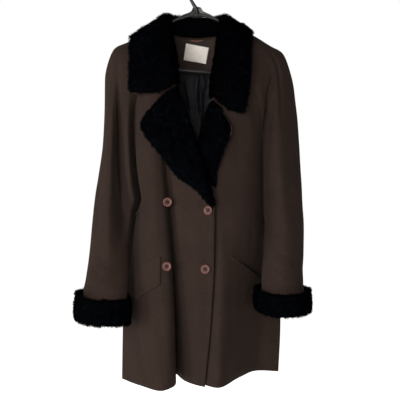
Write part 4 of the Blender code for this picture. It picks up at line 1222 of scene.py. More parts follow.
def skin(grid, norm, thick, ring=False):
    """(points, faces, is the face on the outside) of a closed wall, for a fur piece."""
    rows, cols = grid.shape[:2]
    thick = np.broadcast_to(np.asarray(thick, float), (rows, cols))
    wide = cols - 1 if ring else cols
    outer = grid[:, :wide].reshape(-1, 3)
    inside = (grid - norm * thick[..., None])[:, :wide].reshape(-1, 3)
    verts = np.concatenate([outer, inside])
    half = rows * wide
    faces = []
    hairy = []

    def at(i, j):
        return i * wide + j % wide if ring else i * wide + j
    for i in range(rows - 1):
        for j in range(cols - 1):
            faces.append([at(i, j), at(i + 1, j), at(i + 1, j + 1), at(i, j + 1)])
            hairy.append(True)
            faces.append([half + at(i, j), half + at(i, j + 1),
                          half + at(i + 1, j + 1), half + at(i + 1, j)])
            hairy.append(False)
    for i, up in ((0, True), (rows - 1, False)):
        for j in range(cols - 1):
            a, b = at(i, j), at(i, j + 1)
            f = [a, b, half + b, half + a]
            faces.append(f if up else f[::-1])
            hairy.append(True)
    if not ring:
        for j, up in ((0, False), (cols - 1, True)):
            for i in range(rows - 1):
                a, b = at(i, j), at(i + 1, j)
                f = [a, b, half + b, half + a]
                faces.append(f if up else f[::-1])
                hairy.append(True)
    return verts, facing_out(verts, faces), hairy


def pile_way(base):
    """The way across a sheet at each of its points, which its pile follows."""
    lay = np.zeros_like(base)
    lay[:, 1:-1] = base[:, 2:] - base[:, :-2]
    lay[:, 0] = lay[:, 1]
    lay[:, -1] = lay[:, -2]
    return lay


# ---------------------------------------------------------------- the coat
CAMERA_WHITE = 1.02  # what the camera sees past the floor
WORLD_LIGHT = 0.16   # light from all round
FLOOR_Z = -1.6       # metres, as the floor's half width
FLOOR_HALF = 9
FLOOR_PARTS = 24
FLOOR_GLOW = 0.86    # added where the camera sees the floor
LAMPS = (
    # name, place, aim, size (m), power (W), colour
    ("key", (-0.95, -1.75, -0.45), (-0.05, 0, -0.5), 0.6, 21, (1.0, 0.975, 0.95)),
    ("left", (-2.6, -1.3, -0.75), (0, 0, -0.65), 0.9, 34, (1.0, 0.965, 0.93)),
    ("front", (-0.3, -3.2, -0.3), (0, 0, -0.45), 1.2, 34, (1.0, 0.985, 0.965)),
    ("fill_right", (2.4, -1.8, -0.3), (0, 0, -0.7), 1.8, 6, (0.95, 0.97, 1.0)),
    ("behind", (0.6, 2.4, 0.4), (0, 0, -0.5), 2.0, 30, (1.0, 1.0, 1.0)),
)
STITCH_FACES = 14    # in one stitch: three rounds of four and two ends
RIM_OUT = 0.8        # how far a hem's fold stands out past the sheet's edge
COLLAR_TUFTS = 60000
LAPEL_RIGHT_TUFTS = 30000
LAPEL_LEFT_TUFTS = 16000
CUFF_TUFTS = 38000
HAIR_WIDTH = 0.8
TUFT_LIFT = 0.8      # how far the pile stands up from the way it lies
SLEEVE_STEPS = (9, 9, 9, 7, 6, 6, 7, 8, 9)
FRONT_RIGHT_STEPS = (7, 8, 9, 8, 8, 8, 10)
FRONT_LEFT_STEPS = (8, 9, 10, 8, 10)
BACK_STEPS = (8, 10, 14, 14, 10, 8)
SEAM_HOLD = ((0, 1.0), (1, 0.7), (2, 0.3))     # row or column from a seam, share held still
CLOSE_REACH = 3.2    # the right sleeve's underside moves this far towards the body
CLOSE_ROWS = 12      # over these rows below the arm
CLOSE_SHARES = (1, 0.95, 0.8, 0.6, 0.35, 0.15)
TOPSTITCH_IN = 9.5
LAPEL_FOOT = -590
LINING_OFF = 7.0     # the lining hangs this far off the wool
LINING_RIPPLE = 2.4
THREAD_DARK = (0.007, 0.0045, 0.0035)
THREAD_LIGHT = (0.030, 0.020, 0.016)

# Creases one by one: photo pixels (x, y) down the fold, its half width and depth in mm; a
# depth below zero is a ridge.
FOLDS_FRONT_RIGHT = (
    (((134, 322), (138, 338), (141, 352), (143, 368), (145, 382)), 8, 3.8),
    (((148, 215), (150, 235), (151, 252)), 9, 1.3),
    (((145, 150), (147, 180), (146, 205)), 11, 1.6),
    (((154, 175), (155, 205), (155, 240)), 8, -1.2),
    (((186, 225), (190, 245), (196, 262)), 10, 1.2),
    (((184, 262), (190, 266), (200, 268)), 7, 1.0),
    (((158, 300), (160, 330), (163, 372)), 10, 1.8),
    (((150, 305), (153, 335), (156, 370)), 8, -1.2),
    (((186, 285), (190, 320), (191, 370)), 12, 1.8),
    (((198, 290), (199, 320), (199, 360)), 9, -1.0),
    (((176, 222), (184, 212), (196, 207)), 8, 1.0),
)
FOLDS_FRONT_LEFT = (
    (((252, 226), (252, 242), (250, 256)), 9, 1.8),
    (((252, 282), (250, 292), (247, 304)), 9, 2.0),
    (((262, 300), (262, 330), (260, 366)), 11, 2.0),
    (((240, 262), (236, 300), (234, 350), (233, 380)), 11, -1.8),
    (((247, 300), (245, 330), (245, 368)), 9, 1.6),
    (((226, 215), (228, 240), (228, 262)), 11, 1.4),
    (((238, 120), (238, 150), (240, 180)), 12, 1.5),
    (((248, 105), (251, 130), (252, 160)), 9, -1.2),
    (((223, 300), (222, 335), (221, 372)), 10, 1.6),
)
FOLDS_SLEEVE_RIGHT = (
    (((117.5, 60), (118, 82), (119, 110), (119.5, 136),
      (120, 162), (121.5, 190), (124, 216)), 4.5, 5.4),
    (((111, 75), (109, 95), (107, 112), (105, 128)), 7, -1.8),
    (((117, 50), (117.5, 66), (118, 82), (119, 110)), 8, 1.5),
    (((100, 160), (99, 190), (97, 220), (94, 250)), 9, 1.6),
    (((106, 170), (106, 200), (104, 235)), 8, -1.2),
    (((113, 150), (114, 180), (117, 205)), 8, 1.3),
    (((96, 250), (104, 262), (116, 270)), 7, 1.5),
    (((90, 262), (99, 274), (112, 283)), 7, 1.3),
    (((88, 276), (96, 284), (106, 288)), 6, -1.0),
    (((104, 228), (112, 240), (121, 252)), 8, 1.2),
)
FOLDS_SLEEVE_LEFT = (
    (((275, 98), (273, 110), (271, 122), (269.5, 140),
      (268, 160), (267, 180), (266.5, 200)), 4.5, 4.4),
    (((275, 70), (272, 79), (269, 89), (267, 100), (266, 112),
      (264, 130), (262.5, 148)), 4.5, 4.2),
    (((264, 47), (269, 51), (274, 57), (277, 64), (279, 73),
      (280, 82), (281, 100), (281.5, 128)), 5, 3.8),
    (((287, 80), (288, 105), (289, 135)), 8, -1.4),
    (((290, 150), (291, 180), (291, 215)), 10, 1.5),
    (((279, 150), (280, 180), (280, 215)), 8, -1.2),
    (((270, 224), (279, 234), (291, 240)), 8, 1.5),
    (((271, 244), (280, 254), (292, 259)), 7, 1.6),
    (((270, 262), (280, 271), (294, 274)), 7, 1.4),
    (((284, 262), (292, 266), (300, 266)), 6, -1.0),
)
# The back's folds as (x, z) in mm.
FOLDS_BACK = (
    (((-70, -260), (-64, -420), (-60, -600), (-66, -800), (-70, -1000)), 16, 4.7),
    (((66, -270), (62, -430), (66, -620), (72, -820), (70, -995)), 16, 4.3),
    (((0, -700), (4, -820), (2, -1000)), 18, -4.7),
    (((-120, -330), (-116, -480), (-124, -640)), 13, -3.6),
    (((122, -330), (120, -500), (128, -660)), 13, -3.6),
    (((-130, -760), (-128, -880), (-132, -1000)), 14, 4.0),
    (((136, -760), (132, -880), (136, -990)), 14, 4.0),
    (((-58, -215), (-20, -232), (22, -232), (60, -214)), 12, 2.7),
    (((-28, -620), (-32, -760), (-36, -990)), 12, 3.2),
    (((40, -640), (36, -780), (34, -990)), 12, -2.9),
)
FOLDS_LINING = (
    (((181.5, 66), (182.5, 76), (184.5, 92), (189, 114)), 4, 5.5),
    (((202, 66), (201, 78), (199, 90), (199, 102), (200, 116)), 3.2, 7.0),
    (((210, 66), (209, 76), (206, 90), (203, 106)), 3.6, 5.0),
    (((191, 68), (192, 84), (194, 104)), 6, -2.0),
    (((205.5, 70), (204.5, 82), (202.5, 98)), 3, -2.0),
)


def front_right():
    return Front(seam_of(SLEEVE_RIGHT, 0), FRONT_RIGHT_SIDE, FRONT_RIGHT_NECK, FRONT_RIGHT_SHARE,
                 FRONT_RIGHT_Z, FRONT_RIGHT, FRONT_RIGHT_HEM)


def front_left():
    return Front(seam_of(SLEEVE_LEFT, 0), FRONT_LEFT_SIDE, FRONT_LEFT_NECK, FRONT_LEFT_SHARE,
                 FRONT_LEFT_Z, FRONT_LEFT, FRONT_LEFT_HEM)


def outer_face(grid):
    """A search tree over the outer face of a panel, for what is laid on it."""
    rows, cols = grid.shape[:2]
    verts = [Vector(p) for p in grid.reshape(-1, 3)]
    faces = []
    for i in range(rows - 1):
        for j in range(cols - 1):
            a = i * cols + j
            faces.append((a, a + 1, a + cols + 1))
            faces.append((a, a + cols + 1, a + cols))
    return BVHTree.FromPolygons(verts, faces)


def depth_on(tree, x, z):
    """Depth of a panel's outer face at (x, z), or of its nearest point beside it."""
    hit = met(tree, x, z)[0]
    if hit is None:
        hit = tree.find_nearest(Vector((x, -100.0, z)))[0]
    return hit.y


def front_of(tree, x, z):
    """Point and forward normal of a panel's outer face at (x, z), or None beside it."""
    spot, way = met(tree, x, z)
    return spot, -way if way is not None and way.y > 0 else way


def stand_off(tree, x, z, clear):
    """The point that stands this far off a panel's outer face, square to it."""
    spot, way = front_of(tree, x, z)
    return np.array(spot + way * clear)


def lay_on(tree, grid, clear):
    """Points of a sheet moved out until they clear the panel below."""
    out = grid.copy()
    for i in range(grid.shape[0]):
        for j in range(grid.shape[1]):
            x, y, z = grid[i, j]
            out[i, j, 1] = min(y, depth_on(tree, x, z) - clear)
    return out


def patch(tree, top, bottom, steps, rows, clear):
    """A small flat piece on a panel between two lines of (x, z)."""
    upper, lower = (through(line, [steps] * (len(line) - 1)) for line in (top, bottom))
    grid = []
    for r in range(rows + 1):
        f = r / rows
        line = []
        for a, b in zip(upper, lower):
            x, z = a + (b - a) * f
            line.append(stand_off(tree, x, z, clear))
        grid.append(line)
    return np.array(grid)


def place(piece, slot, *nodes):
    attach(piece, "root")
    if nodes:
        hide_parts(*nodes)
    return piece


def folded(grid, norm, tree, folds, way=1):
    """A panel with its listed creases. Folds are photo pixels, or mm on the back."""
    for spots, wide, deep in folds:
        if way > 0:
            flat = [px(x, y) for x, y in spots]
            for _ in range(2):
                seen = on_sheet(tree, flat, way)
                flat = [px(x, y, p[1]) for (x, y), p in zip(spots, seen)]
            line = on_sheet(tree, flat, way)
        else:
            line = on_sheet(tree, spots, way)
        grid = crease(grid, norm, line, wide, deep)
    return grid


def welded(grid, norm, ring):
    """A sleeve's rings closed again after their points were moved."""
    grid[ring:, -1] = grid[ring:, 0]
    norm[ring:, -1] = norm[ring:, 0]


def held_still(old, new, rows=(), cols=()):
    """The moved sheet, with named rows and columns eased back to where they were."""
    out = new.copy()
    for i, share in rows:
        out[i] = new[i] * (1 - share) + old[i] * share
    for j, share in cols:
        out[:, j] = out[:, j] * (1 - share) + old[:, j] * share
    return out


def panels():
    """Every main sheet with its normals, before it gets a wall."""
    ring = UNDERARM * FINE
    cuffs = {}
    for name, rings in (("right", CUFF_RIGHT), ("left", CUFF_LEFT)):
        grid = cuff_grid(rings, 72, 8)
        norm = normals(grid, 0)
        if norm[2, 0] @ np.array((rings[0][0], 0, 0)) < 0:
            norm = -norm
        rows = np.linspace(0, 4, grid.shape[0])
        cuffs[name] = (grid, norm, np.interp(rows, range(5), CUFF_WALL)[:, None])
    sleeves = {}
    for name, rows in (("right", SLEEVE_RIGHT), ("left", SLEEVE_LEFT)):
        grid = sleeve_grid(rows, FINE, SLEEVE_STEPS)
        meet_cuff(grid, *cuffs[name])
        norm = normals(grid, ring)
        middle = grid.mean(axis=1, keepdims=True)
        if ((grid - middle) * norm).sum() < 0:
            norm = -norm
        sleeves[name] = [grid, norm]
    fronts = {}
    for name, maker, steps in (("right", front_right, FRONT_RIGHT_STEPS),
                               ("left", front_left, FRONT_LEFT_STEPS)):
        grid = maker().grid(FINE, steps)
        fronts[name] = [grid, facing_to(normals(grid), -1)]
    g_back = back_grid(FINE, BACK_STEPS)
    n_back = facing_to(normals(g_back), 1)
    share_normals(sleeves["right"][1], 0, fronts["right"][1], 0, range(ring + 1))
    share_normals(sleeves["left"][1], 0, fronts["left"][1], 0, range(ring + 1))
    share_normals(sleeves["right"][1], -1, n_back, 0, range(ring))
    share_normals(sleeves["left"][1], -1, n_back, -1, range(ring))
    n_back[ring, 0] = fronts["right"][1][ring, 0]
    n_back[ring, -1] = fronts["left"][1][ring, 0]
    for name, column in (("right", 0), ("left", -1)):
        share_normals(fronts[name][1], 0, n_back, column, range(ring + 1, g_back.shape[0]))
    return cuffs, sleeves, fronts, [g_back, n_back]


def ends(count, first, last):
    """Shares that hold the first and last rows or columns still."""
    out = []
    if first:
        out += list(SEAM_HOLD)
    if last:
        out += [(count - 1 - k, s) for k, s in SEAM_HOLD]
    return out


def coat_shells(sleeves, fronts, back, wool, satin):
    """The wool panels, with folds, seams that sink a little and lining inside the sleeves."""
    ring = UNDERARM * FINE
    thread = thread_material("thread_brown", THREAD_DARK, THREAD_LIGHT, 0.03)
    for name, folds, seed in (("right", FOLDS_SLEEVE_RIGHT, 3), ("left", FOLDS_SLEEVE_LEFT, 4)):
        grid, norm = sleeves[name]
        norm[ring:, -1] = norm[ring:, 0]
        tree = outer_face(grid)
        moved = folded(grid, norm, tree, folds)
        moved = waves(moved, norm, 1.1, seed)
        count = grid.shape[0]
        rows = [(count - 1 - k, 1 - k / 10) for k in range(10)]
        moved = held_still(grid, moved, rows=rows)
        soft = held_still(grid, moved, cols=ends(grid.shape[1], True, True))
        moved[:ring + 4] = soft[:ring + 4]
        if name == "right":
            # The underside closes on the body just below the arm.
            for k in range(1, CLOSE_ROWS):
                reach = CLOSE_REACH * math.sin(math.pi * k / CLOSE_ROWS)
                for j, share in enumerate(CLOSE_SHARES):
                    moved[ring + k, j, 0] += reach * share
                    moved[ring + k, -1 - j, 0] += reach * share
        welded(moved, norm, ring)
        tidy = pull_in(moved, cols=(0, -1))
        near = pull_in(moved, cols=(0, -1), by=0.8)
        tidy[ring - 2 * FINE:ring] = near[ring - 2 * FINE:ring]
        tidy[ring] = moved[ring]
        tidy[ring, 0, 0] += math.copysign(1.2, moved[ring, 0, 0])
        tidy[ring, -1] = tidy[ring, 0]
        tidy[ring + 1:] = moved[ring + 1:]
        sleeves[name] = [tidy, norm]
        piece = cloth("coat_sleeve_" + name, tidy, norm, CLOTH, [wool, satin], ring, lambda i, j: 1)
        place(piece, "wool", "sleeve_" + name)
    for name, folds, seed, share in (("right", FOLDS_FRONT_RIGHT, 5, 42),
                                     ("left", FOLDS_FRONT_LEFT, 6, 32)):
        grid, norm = fronts[name]
        tree = outer_face(grid)
        moved = folded(grid, norm, tree, folds)
        moved = waves(moved, norm, 0.9, seed)
        moved = held_still(grid, moved, cols=ends(grid.shape[1], True, False))
        moved = pull_in(moved, cols=(0,))
        fronts[name] = [moved, norm]
        piece = sunk_cloth("coat_front_" + name, moved, norm, (0,), [wool, satin],
                           inner=lambda i, j, s=share: 0 if j > s else 1)
        place(piece, "wool", "front_" + name)
    grid, norm = back
    tree = outer_face(grid)
    moved = folded(grid, norm, tree, FOLDS_BACK, -1)
    moved = waves(moved, norm, 1.3, 7)
    moved = held_still(grid, moved, rows=[(0, 1.0), (1, 0.9), (2, 0.8), (3, 0.6), (4, 0.4)],
                       cols=ends(grid.shape[1], True, True))
    moved = pull_in(moved, cols=(0, -1), rows=(0,))
    back[0] = moved
    piece = sunk_cloth("coat_back", moved, norm, (0, -1), [wool])
    place(piece, "wool", "back")

    # Topstitching inside the right front's edge, below the lapel.
    grid, norm = fronts["right"]
    edge = [s for s in inset(grid, norm, -1, TOPSTITCH_IN, 0.15) if s[0][2] < LAPEL_FOOT]
    place(sewing("coat_topstitch_front", [edge], thread), "wool")

    # The sleeves' overarm seams and the back's centre seam, pressed open: two low welts.
    top, last = 3 * FINE, 12 * FINE
    seams = []
    for name, spots in (("right", (40, 40, 37, 36)), ("left", (40, 40, 36, 35))):
        grid, norm = sleeves[name]
        rows = range(FINE // 2, last - 3)
        line = [between(grid, norm, i, float(np.interp(i, (0, top, 9 * FINE, last), spots)))
                for i in rows]
        place(seam_welt("coat_overarm_seam_" + name, line, wool), "wool")
        seams.append(line)
    grid, norm = back
    middle = (grid.shape[1] - 1) / 2
    line = [between(grid, norm, i, middle) for i in range(4, grid.shape[0] - 1)]
    place(seam_welt("coat_back_seam", line, wool), "wool")
    seams.append(line)
    lines = [[(point + way * 0.1, way) for point, way in seam] for seam in seams]
    place(sewing("coat_seam_thread", lines, thread, 3.6, 0.3, 0.3), "wool")


def between(grid, norm, i, col):
    """Point and normal at a fractional column of row i."""
    j = int(col)
    f = col - j
    point = grid[i, j] * (1 - f) + grid[i, j + 1] * f
    way = norm[i, j] * (1 - f) + norm[i, j + 1] * f
    return point, way / np.linalg.norm(way)


def seam_welt(name, line, mat):
    """Two low welts with a groove between them, along a line of (point, normal)."""
    section = ((-2.7, -0.3), (-1.7, 0.2), (-0.6, 0.4), (0.0, -0.1),
               (0.6, 0.4), (1.7, 0.2), (2.7, -0.3))
    verts = []
    faces = []
    uvs = []
    wide = len(section)
    for k, (point, way) in enumerate(line):
        ahead = line[min(k + 1, len(line) - 1)][0] - line[max(k - 1, 0)][0]
        side = np.cross(ahead, way)
        side /= np.linalg.norm(side)
        verts.extend(point + side * u + way * v for u, v in section)
    for k in range(len(line) - 1):
        for c in range(wide - 1):
            a = k * wide + c
            faces.append([a, a + wide, a + wide + 1, a + 1])
            uvs.extend((q % wide * 0.001, q // wide * 0.008) for q in faces[-1])
    first = np.cross(verts[wide] - verts[0], verts[1] - verts[0])
    if first @ line[0][1] < 0:
        faces = [f[::-1] for f in faces]
    return mesh_object(name, verts, faces, [mat], uvs=uvs)


def rolled_edge(name, lines, mat, radius):
    """Thin rolls of cloth along lines of points."""
    verts = []
    faces = []
    for line in lines:
        rings = []
        for i, p in enumerate(line):
            ahead = heading(line, i)
            up = np.cross(ahead, (0.3, 1, 0.1))
            up /= np.linalg.norm(up)
            out = np.cross(up, ahead)
            turns = [math.pi * s / 4 for s in range(8)]
            rings.append([p + (up * math.cos(t) + out * math.sin(t)) * radius for t in turns])
        join_rings(verts, faces, rings)
    return mesh_object(name, verts, facing_out(verts, faces), [mat])


def collar_and_lapels(fronts, pile, wool):
    collar = collar_grid((4, 2, 3, 5, 6, 5), 5)
    n_col = smoothed(smoothed(normals(collar)))
    if n_col[collar.shape[0] // 2, -3][1] < 0:
        n_col = -n_col
    coarse = np.cumsum([0, 4, 2, 3, 5, 6, 5])
    thick = np.interp(np.arange(collar.shape[1]), coarse, (3, 4.5, 5.5, 6.5, 6.8, FUR, 3.2))
    base = waves(collar + n_col * thick[None, :, None] * 0.5, n_col, 1.6, 61, 20.0)
    verts, faces, hairy = skin(base, n_col, thick[None, :] * 0.5)
    lay = pile_way(base)
    lay[:, :5] *= 0.6
    piece = fur("coat_collar_fur", verts, faces, hairy, np.tile(lay.reshape(-1, 3), (2, 1)),
                COLLAR_TUFTS, 7.0, pile, 11)
    place(piece, "fur", "collar")
    under = pull_in(collar - n_col * 0.5, cols=(-1,), rows=(0, -1), by=1.2)
    piece = cloth("coat_under_collar", under, n_col, 1.6, [wool])
    place(piece, "wool", "under_collar")
    pale = facing_material("cut_edge", (0.075, 0.05, 0.041), (0.13, 0.09, 0.075))
    line = [collar[0, j] + (collar[0, j] - collar[2, j]) * 0.06 - n_col[0, j] * 0.6
            for j in range(13, collar.shape[1])]
    place(rolled_edge("coat_collar_edge", [line], pale, 0.75), "wool")
    for name, rows, count in (("right", LAPEL_RIGHT, LAPEL_RIGHT_TUFTS),
                              ("left", LAPEL_LEFT, LAPEL_LEFT_TUFTS)):
        tree = outer_face(fronts[name][0])
        flat = lay_on(tree, strip_grid(rows, 20, 4, 8), 2.5)
        n = normals(flat)
        if n[8, 8][1] > 0:
            n = -n
        thick = np.interp(np.arange(21), (0, 4, 16, 20), (4, 6, 6, 3))
        base = waves(flat + n * thick[None, :, None] * 0.5, n, 1.4, 62, 20.0)
        roll = base[:, 0] - base[:, 1]
        base[:, 0] += unit(roll) * 2.2
        verts, faces, hairy = skin(base, n, thick[None, :] * 0.5)
        lay = unit(pile_way(base)) + (0, 0, -0.9)
        piece = fur("coat_lapel_fur_" + name, verts, faces, hairy,
                    np.tile(lay.reshape(-1, 3), (2, 1)), count, 6.0, pile, 21 + count)
        place(piece, "fur", "lapel_" + name)
        under = pull_in(flat - n * SEAM, cols=(0, -1), rows=(0, -1), by=1.2)
        piece = cloth("coat_lapel_under_" + name, under, n, 1.6, [wool])
        place(piece, "wool", "lapel_under_" + name)
        if name == "left":
            out = unit(flat[:26, -1] - flat[:26, -2])
            line = list(flat[:26, -1] + out * 2.6 + n[:26, -1] * 0.8)
            place(rolled_edge("coat_lapel_edge", [line], pale, 0.8), "wool")


def fur_cuffs(cuffs, pile):
    for name in ("right", "left"):
        grid, norm, wall = cuffs[name]
        base = waves(grid - norm * wall[..., None] * 0.5, norm, 1.6, 63, 20.0)
        base[:, -1] = base[:, 0]
        verts, faces, hairy = skin(base, norm, wall * 0.5, ring=True)
        lay = np.tile((0.0, 0.0, -1.0), (len(verts), 1))
        piece = fur("coat_cuff_fur_" + name, verts, faces, hairy, lay,
                    CUFF_TUFTS, 7.0, pile, 31 + len(name))
        place(piece, "fur", "cuff_" + name)


def pockets(fronts, wool, thread):
    """The flap on the right front and the welt of the tucked-in flap on the left one."""
    tree = outer_face(fronts["right"][0])
    grid = patch(tree, FLAP_TOP, FLAP_BOTTOM, 8, 22, CLOTH + 0.9)
    n = facing_to(normals(grid), -1)
    swell = np.sin(np.linspace(0, math.pi, grid.shape[0]))[:, None] * 0.5
    grid = grid + n * swell[..., None]
    piece = cloth("coat_pocket_flap", grid, n, CLOTH, [wool])
    place(piece, "wool", "flap_right")
    rows = [inset(grid, n, side, 5.0, 0.15)[2:-2] for side in (0, -1)]
    rows.append(inset_row(grid, n, -1, 5.0, 0.15)[1:-1])
    rows.append(inset_row(grid, n, 0, 2.0, 0.15))
    place(sewing("coat_flap_stitching", rows, thread), "wool")
    tree = outer_face(fronts["left"][0])
    grid = patch(tree, WELT_TOP, WELT_BOTTOM, 8, 8, CLOTH + 0.6)
    n = facing_to(normals(grid), -1)
    piece = cloth("coat_pocket_welt", grid, n, CLOTH, [wool])
    place(piece, "wool", "welt_left")
    # The open slot above the tucked-in flap: a near-black strip put there as painted shadow inside the
    # pocket's mouth.
    upper = [px(x, y, -92) for x, y in ((236, 259.5), (243, 263.2), (251, 268.6), (260.5, 275.4))]
    lower = [px(x, y, -92) for x, y in ((236, 260.0), (243, 265.0), (251, 272.2), (260.5, 280.6))]
    gap = patch(tree, upper, lower, 8, 3, CLOTH + 1.0)
    # Painted shadow: near-black matte cloth where the inside of the slot lies in shade.
    dark = wool_material("slot", (0.0006, 0.0004, 0.0004), (0.0018, 0.0012, 0.0011))
    gap = cloth("coat_pocket_slot_painted_shadow", gap, facing_to(normals(gap), -1), 0.2, [dark])
    place(gap, "lining")
    place(sewing("coat_welt_stitching", [inset_row(grid, n, 0, 2.0, 0.15)], thread), "wool")


def halved(grid):
    """The sheet with a column more between each two."""
    out = np.empty((grid.shape[0], grid.shape[1] * 2 - 1, 3))
    out[:, ::2] = grid
    out[:, 1::2] = (grid[:, 1:] + grid[:, :-1]) / 2
    return out


def inside(back, satin):
    """Facing at the neck, lining below it, the blank label and the hanging loop."""
    grid, norm = back
    in_grid = grid - norm * (CLOTH + 0.6)
    cols = slice(8, -8)
    last = int(1.45 * FINE)
    fac = pull_in(in_grid[:last + 1, cols], rows=(0,), by=4)
    piece = cloth("coat_back_facing", fac, norm[:last + 1, cols], 1.4, [facing_material()])
    place(piece, "facing", "back_facing")

    stop = grid.shape[0] - 1 - FINE // 2
    n_low = norm[last:stop, 4:-4]
    low = grid[last:stop, 4:-4] - n_low * (CLOTH + 1.0)
    for _ in range(2):
        low, n_low = halved(low), halved(n_low)
    # Pleats of the lining hang straight down from the facing.
    drop = np.clip((low[:, :, 2:3] - low[:1, :, 2:3]) / -60.0, 0, 1)
    x = low[..., 0:1]
    ripple = (np.sin(x / 5.2 + 0.6) * 0.7 + np.sin(x / 8.9 + 1.9) * 0.8 + np.sin(x / 3.1) * 0.25)
    wall = low
    low = low - n_low * (LINING_OFF + LINING_RIPPLE * ripple) * drop
    tree = outer_face(low)
    for spots, wide, deep in FOLDS_LINING:
        line = on_sheet(tree, [px(x, y, 40) for x, y in spots])
        low = crease(low, -n_low, line, wide, deep)
    # No fold reaches through to the wool.
    off = ((wall - low) * n_low).sum(axis=-1, keepdims=True)
    low = wall - n_low * np.maximum(off, 0.2)
    low = pull_in(low, rows=(0,), by=0.5)
    n_low = -facing_to(normals(low), -1)
    piece = cloth("coat_lining_back", low, n_low, 0.8, [satin])
    place(piece, "lining", "lining_back")

    tree = outer_face(fac - norm[:last + 1, cols] * 1.4)
    turn = math.radians(LABEL_TURN)
    w, h = LABEL_SIZE
    spots = []
    for u in np.linspace(-0.5, 0.5, 25):
        line = []
        for v in np.linspace(-0.5, 0.5, 17):
            x = LABEL_AT[0] + w * u * math.cos(turn) + h * v * math.sin(turn)
            z = LABEL_AT[1] - w * u * math.sin(turn) + h * v * math.cos(turn)
            line.append(stand_off(tree, x, z, 1.3 + 0.35 * math.cos(math.pi * u)))
        spots.append(line)
    label = np.array(spots, float)
    n = facing_to(normals(label), -1)
    piece = cloth("coat_label", label, n, 0.6, [label_material()])
    place(piece, "label", "label")
    white = thread_material("thread_pale", (0.32, 0.29, 0.25), (0.5, 0.46, 0.4))
    rows = [line(label, n, side, 1.6, 0.1)[1:-1] for line in (inset, inset_row) for side in (0, -1)]
    place(sewing("coat_label_stitching", rows, white, 2.0, 1.0, 0.22), "label")

    line = through(LOOP, [5] * (len(LOOP) - 1))
    ends_at = [stand_off(tree, q[0], q[2], 1.6)[1] for q in (line[0], line[-1])]
    line[0][1], line[-1][1] = ends_at
    verts = []
    faces = []
    rings = []
    for i, p in enumerate(line):
        d = heading(line, i)
        up = np.cross(d, (0, 1, 0))
        up /= np.linalg.norm(up)
        out = np.cross(up, d)
        ring = []
        for t in (2 * math.pi * s / 10 for s in range(10)):
            bulge = 1.0 + 0.16 * math.cos(3 * t + i * 1.1)
            ring.append(p + up * math.cos(t) * 1.7 * bulge + out * math.sin(t) * 0.9 * bulge)
        rings.append(ring)
    join_rings(verts, faces, rings)
    piece = mesh_object("coat_hanging_loop", verts, facing_out(verts, faces), [loop_material()])
    place(piece, "loop", "hanger_loop")


def revolved(profile, sides):
    """Rings of (radius, height) round the height axis as (points, faces); radius 0 closes."""
    verts = []
    faces = []
    rings = []
    for r, h in profile:
        if r == 0:
            rings.append([len(verts)] * sides)
            verts.append((0.0, h, 0.0))
            continue
        rings.append([len(verts) + s for s in range(sides)])
        for s in range(sides):
            t = 2 * math.pi * s / sides
            verts.append((r * math.cos(t), h, r * math.sin(t)))
    for a, b in zip(rings, rings[1:]):
        for s in range(sides):
            k = (s + 1) % sides
            face = []
            for c in (a[s], a[k], b[k], b[s]):
                if c not in face:
                    face.append(c)
            faces.append(face)
    return verts, faces


def sewn_button(name, centre, turn, mat, thread):
    """A rimmed button with four dimpled holes and crossing threads, on its shank."""
    sides = 48
    profile = [(0, 0.15), (5.2, 0.0), (6.5, 0.0)]
    profile += [(BUTTON_RADIUS - back, rise) for back, rise in
                ((1.2, 0.8), (0.25, 1.7), (0, 2.4), (0.2, 3.1), (0.9, 3.75), (1.9, BUTTON_HEIGHT),
                 (2.8, 3.7), (3.5, 3.0))]
    profile += [(6.6, 2.75)]
    profile += [(r, 2.7) for r in (6.0, 5.4, 4.8, 4.2, 3.6, 3.0, 2.4, 1.8, 1.2, 0.6)] + [(0, 2.7)]
    verts, faces = revolved(profile, sides)
    holes = [(2.1 * a, 2.1 * b) for a in (-1, 1) for b in (-1, 1)]
    out = []
    spin = math.radians(turn)
    for x, h, z in verts:
        if h > 2.65 and math.hypot(x, z) < 6.4:
            for hx, hz in holes:
                d = math.hypot(x - hx, z - hz)
                if d < 1.35:
                    h -= 1.3 * (1 - (d / 1.35) ** 4)
        out.append((x, -h, z))
    faces = facing_out(out, faces)

    def put(points):
        res = []
        for x, y, z in points:
            a = math.radians(20)
            x, z = x * math.cos(a) - z * math.sin(a), x * math.sin(a) + z * math.cos(a)
            c, s = math.cos(spin), math.sin(spin)
            res.append((centre[0] + x * c - y * s, centre[1] + x * s + y * c, centre[2] + z))
        return res
    body = mesh_object(name, put(out), faces, [mat])
    away = [min(max((math.hypot(x, z) - 4.2) / 3.0, 0.0), 1.0) for x, _, z in out]
    body.data.attributes.new("rim", "FLOAT", "POINT").data.foreach_set("value", away)
    verts = []
    faces = []
    for a, b in ((0, 3), (1, 2), (0, 1), (2, 3)):
        p = np.array((holes[a][0], -2.1, holes[a][1]))
        q = np.array((holes[b][0], -2.1, holes[b][1]))
        for shift in (-0.3, 0.3):
            side = np.cross(q - p, (0, 1, 0))
            side /= np.linalg.norm(side)
            back = np.array((0, 1, 0))
            rings = []
            for f in (i / 6 for i in range(7)):
                c = p + (q - p) * f + side * shift - back * 1.15 * math.sin(math.pi * f) ** 0.6
                rings.append([c + side * math.cos(t) * 0.26 + back * math.sin(t) * 0.26
                              for t in (math.pi * s / 3 for s in range(6))])
            join_rings(verts, faces, rings, (False, False))
    cord = mesh_object(name + "_thread", put(verts), faces, [thread])
    return body, cord


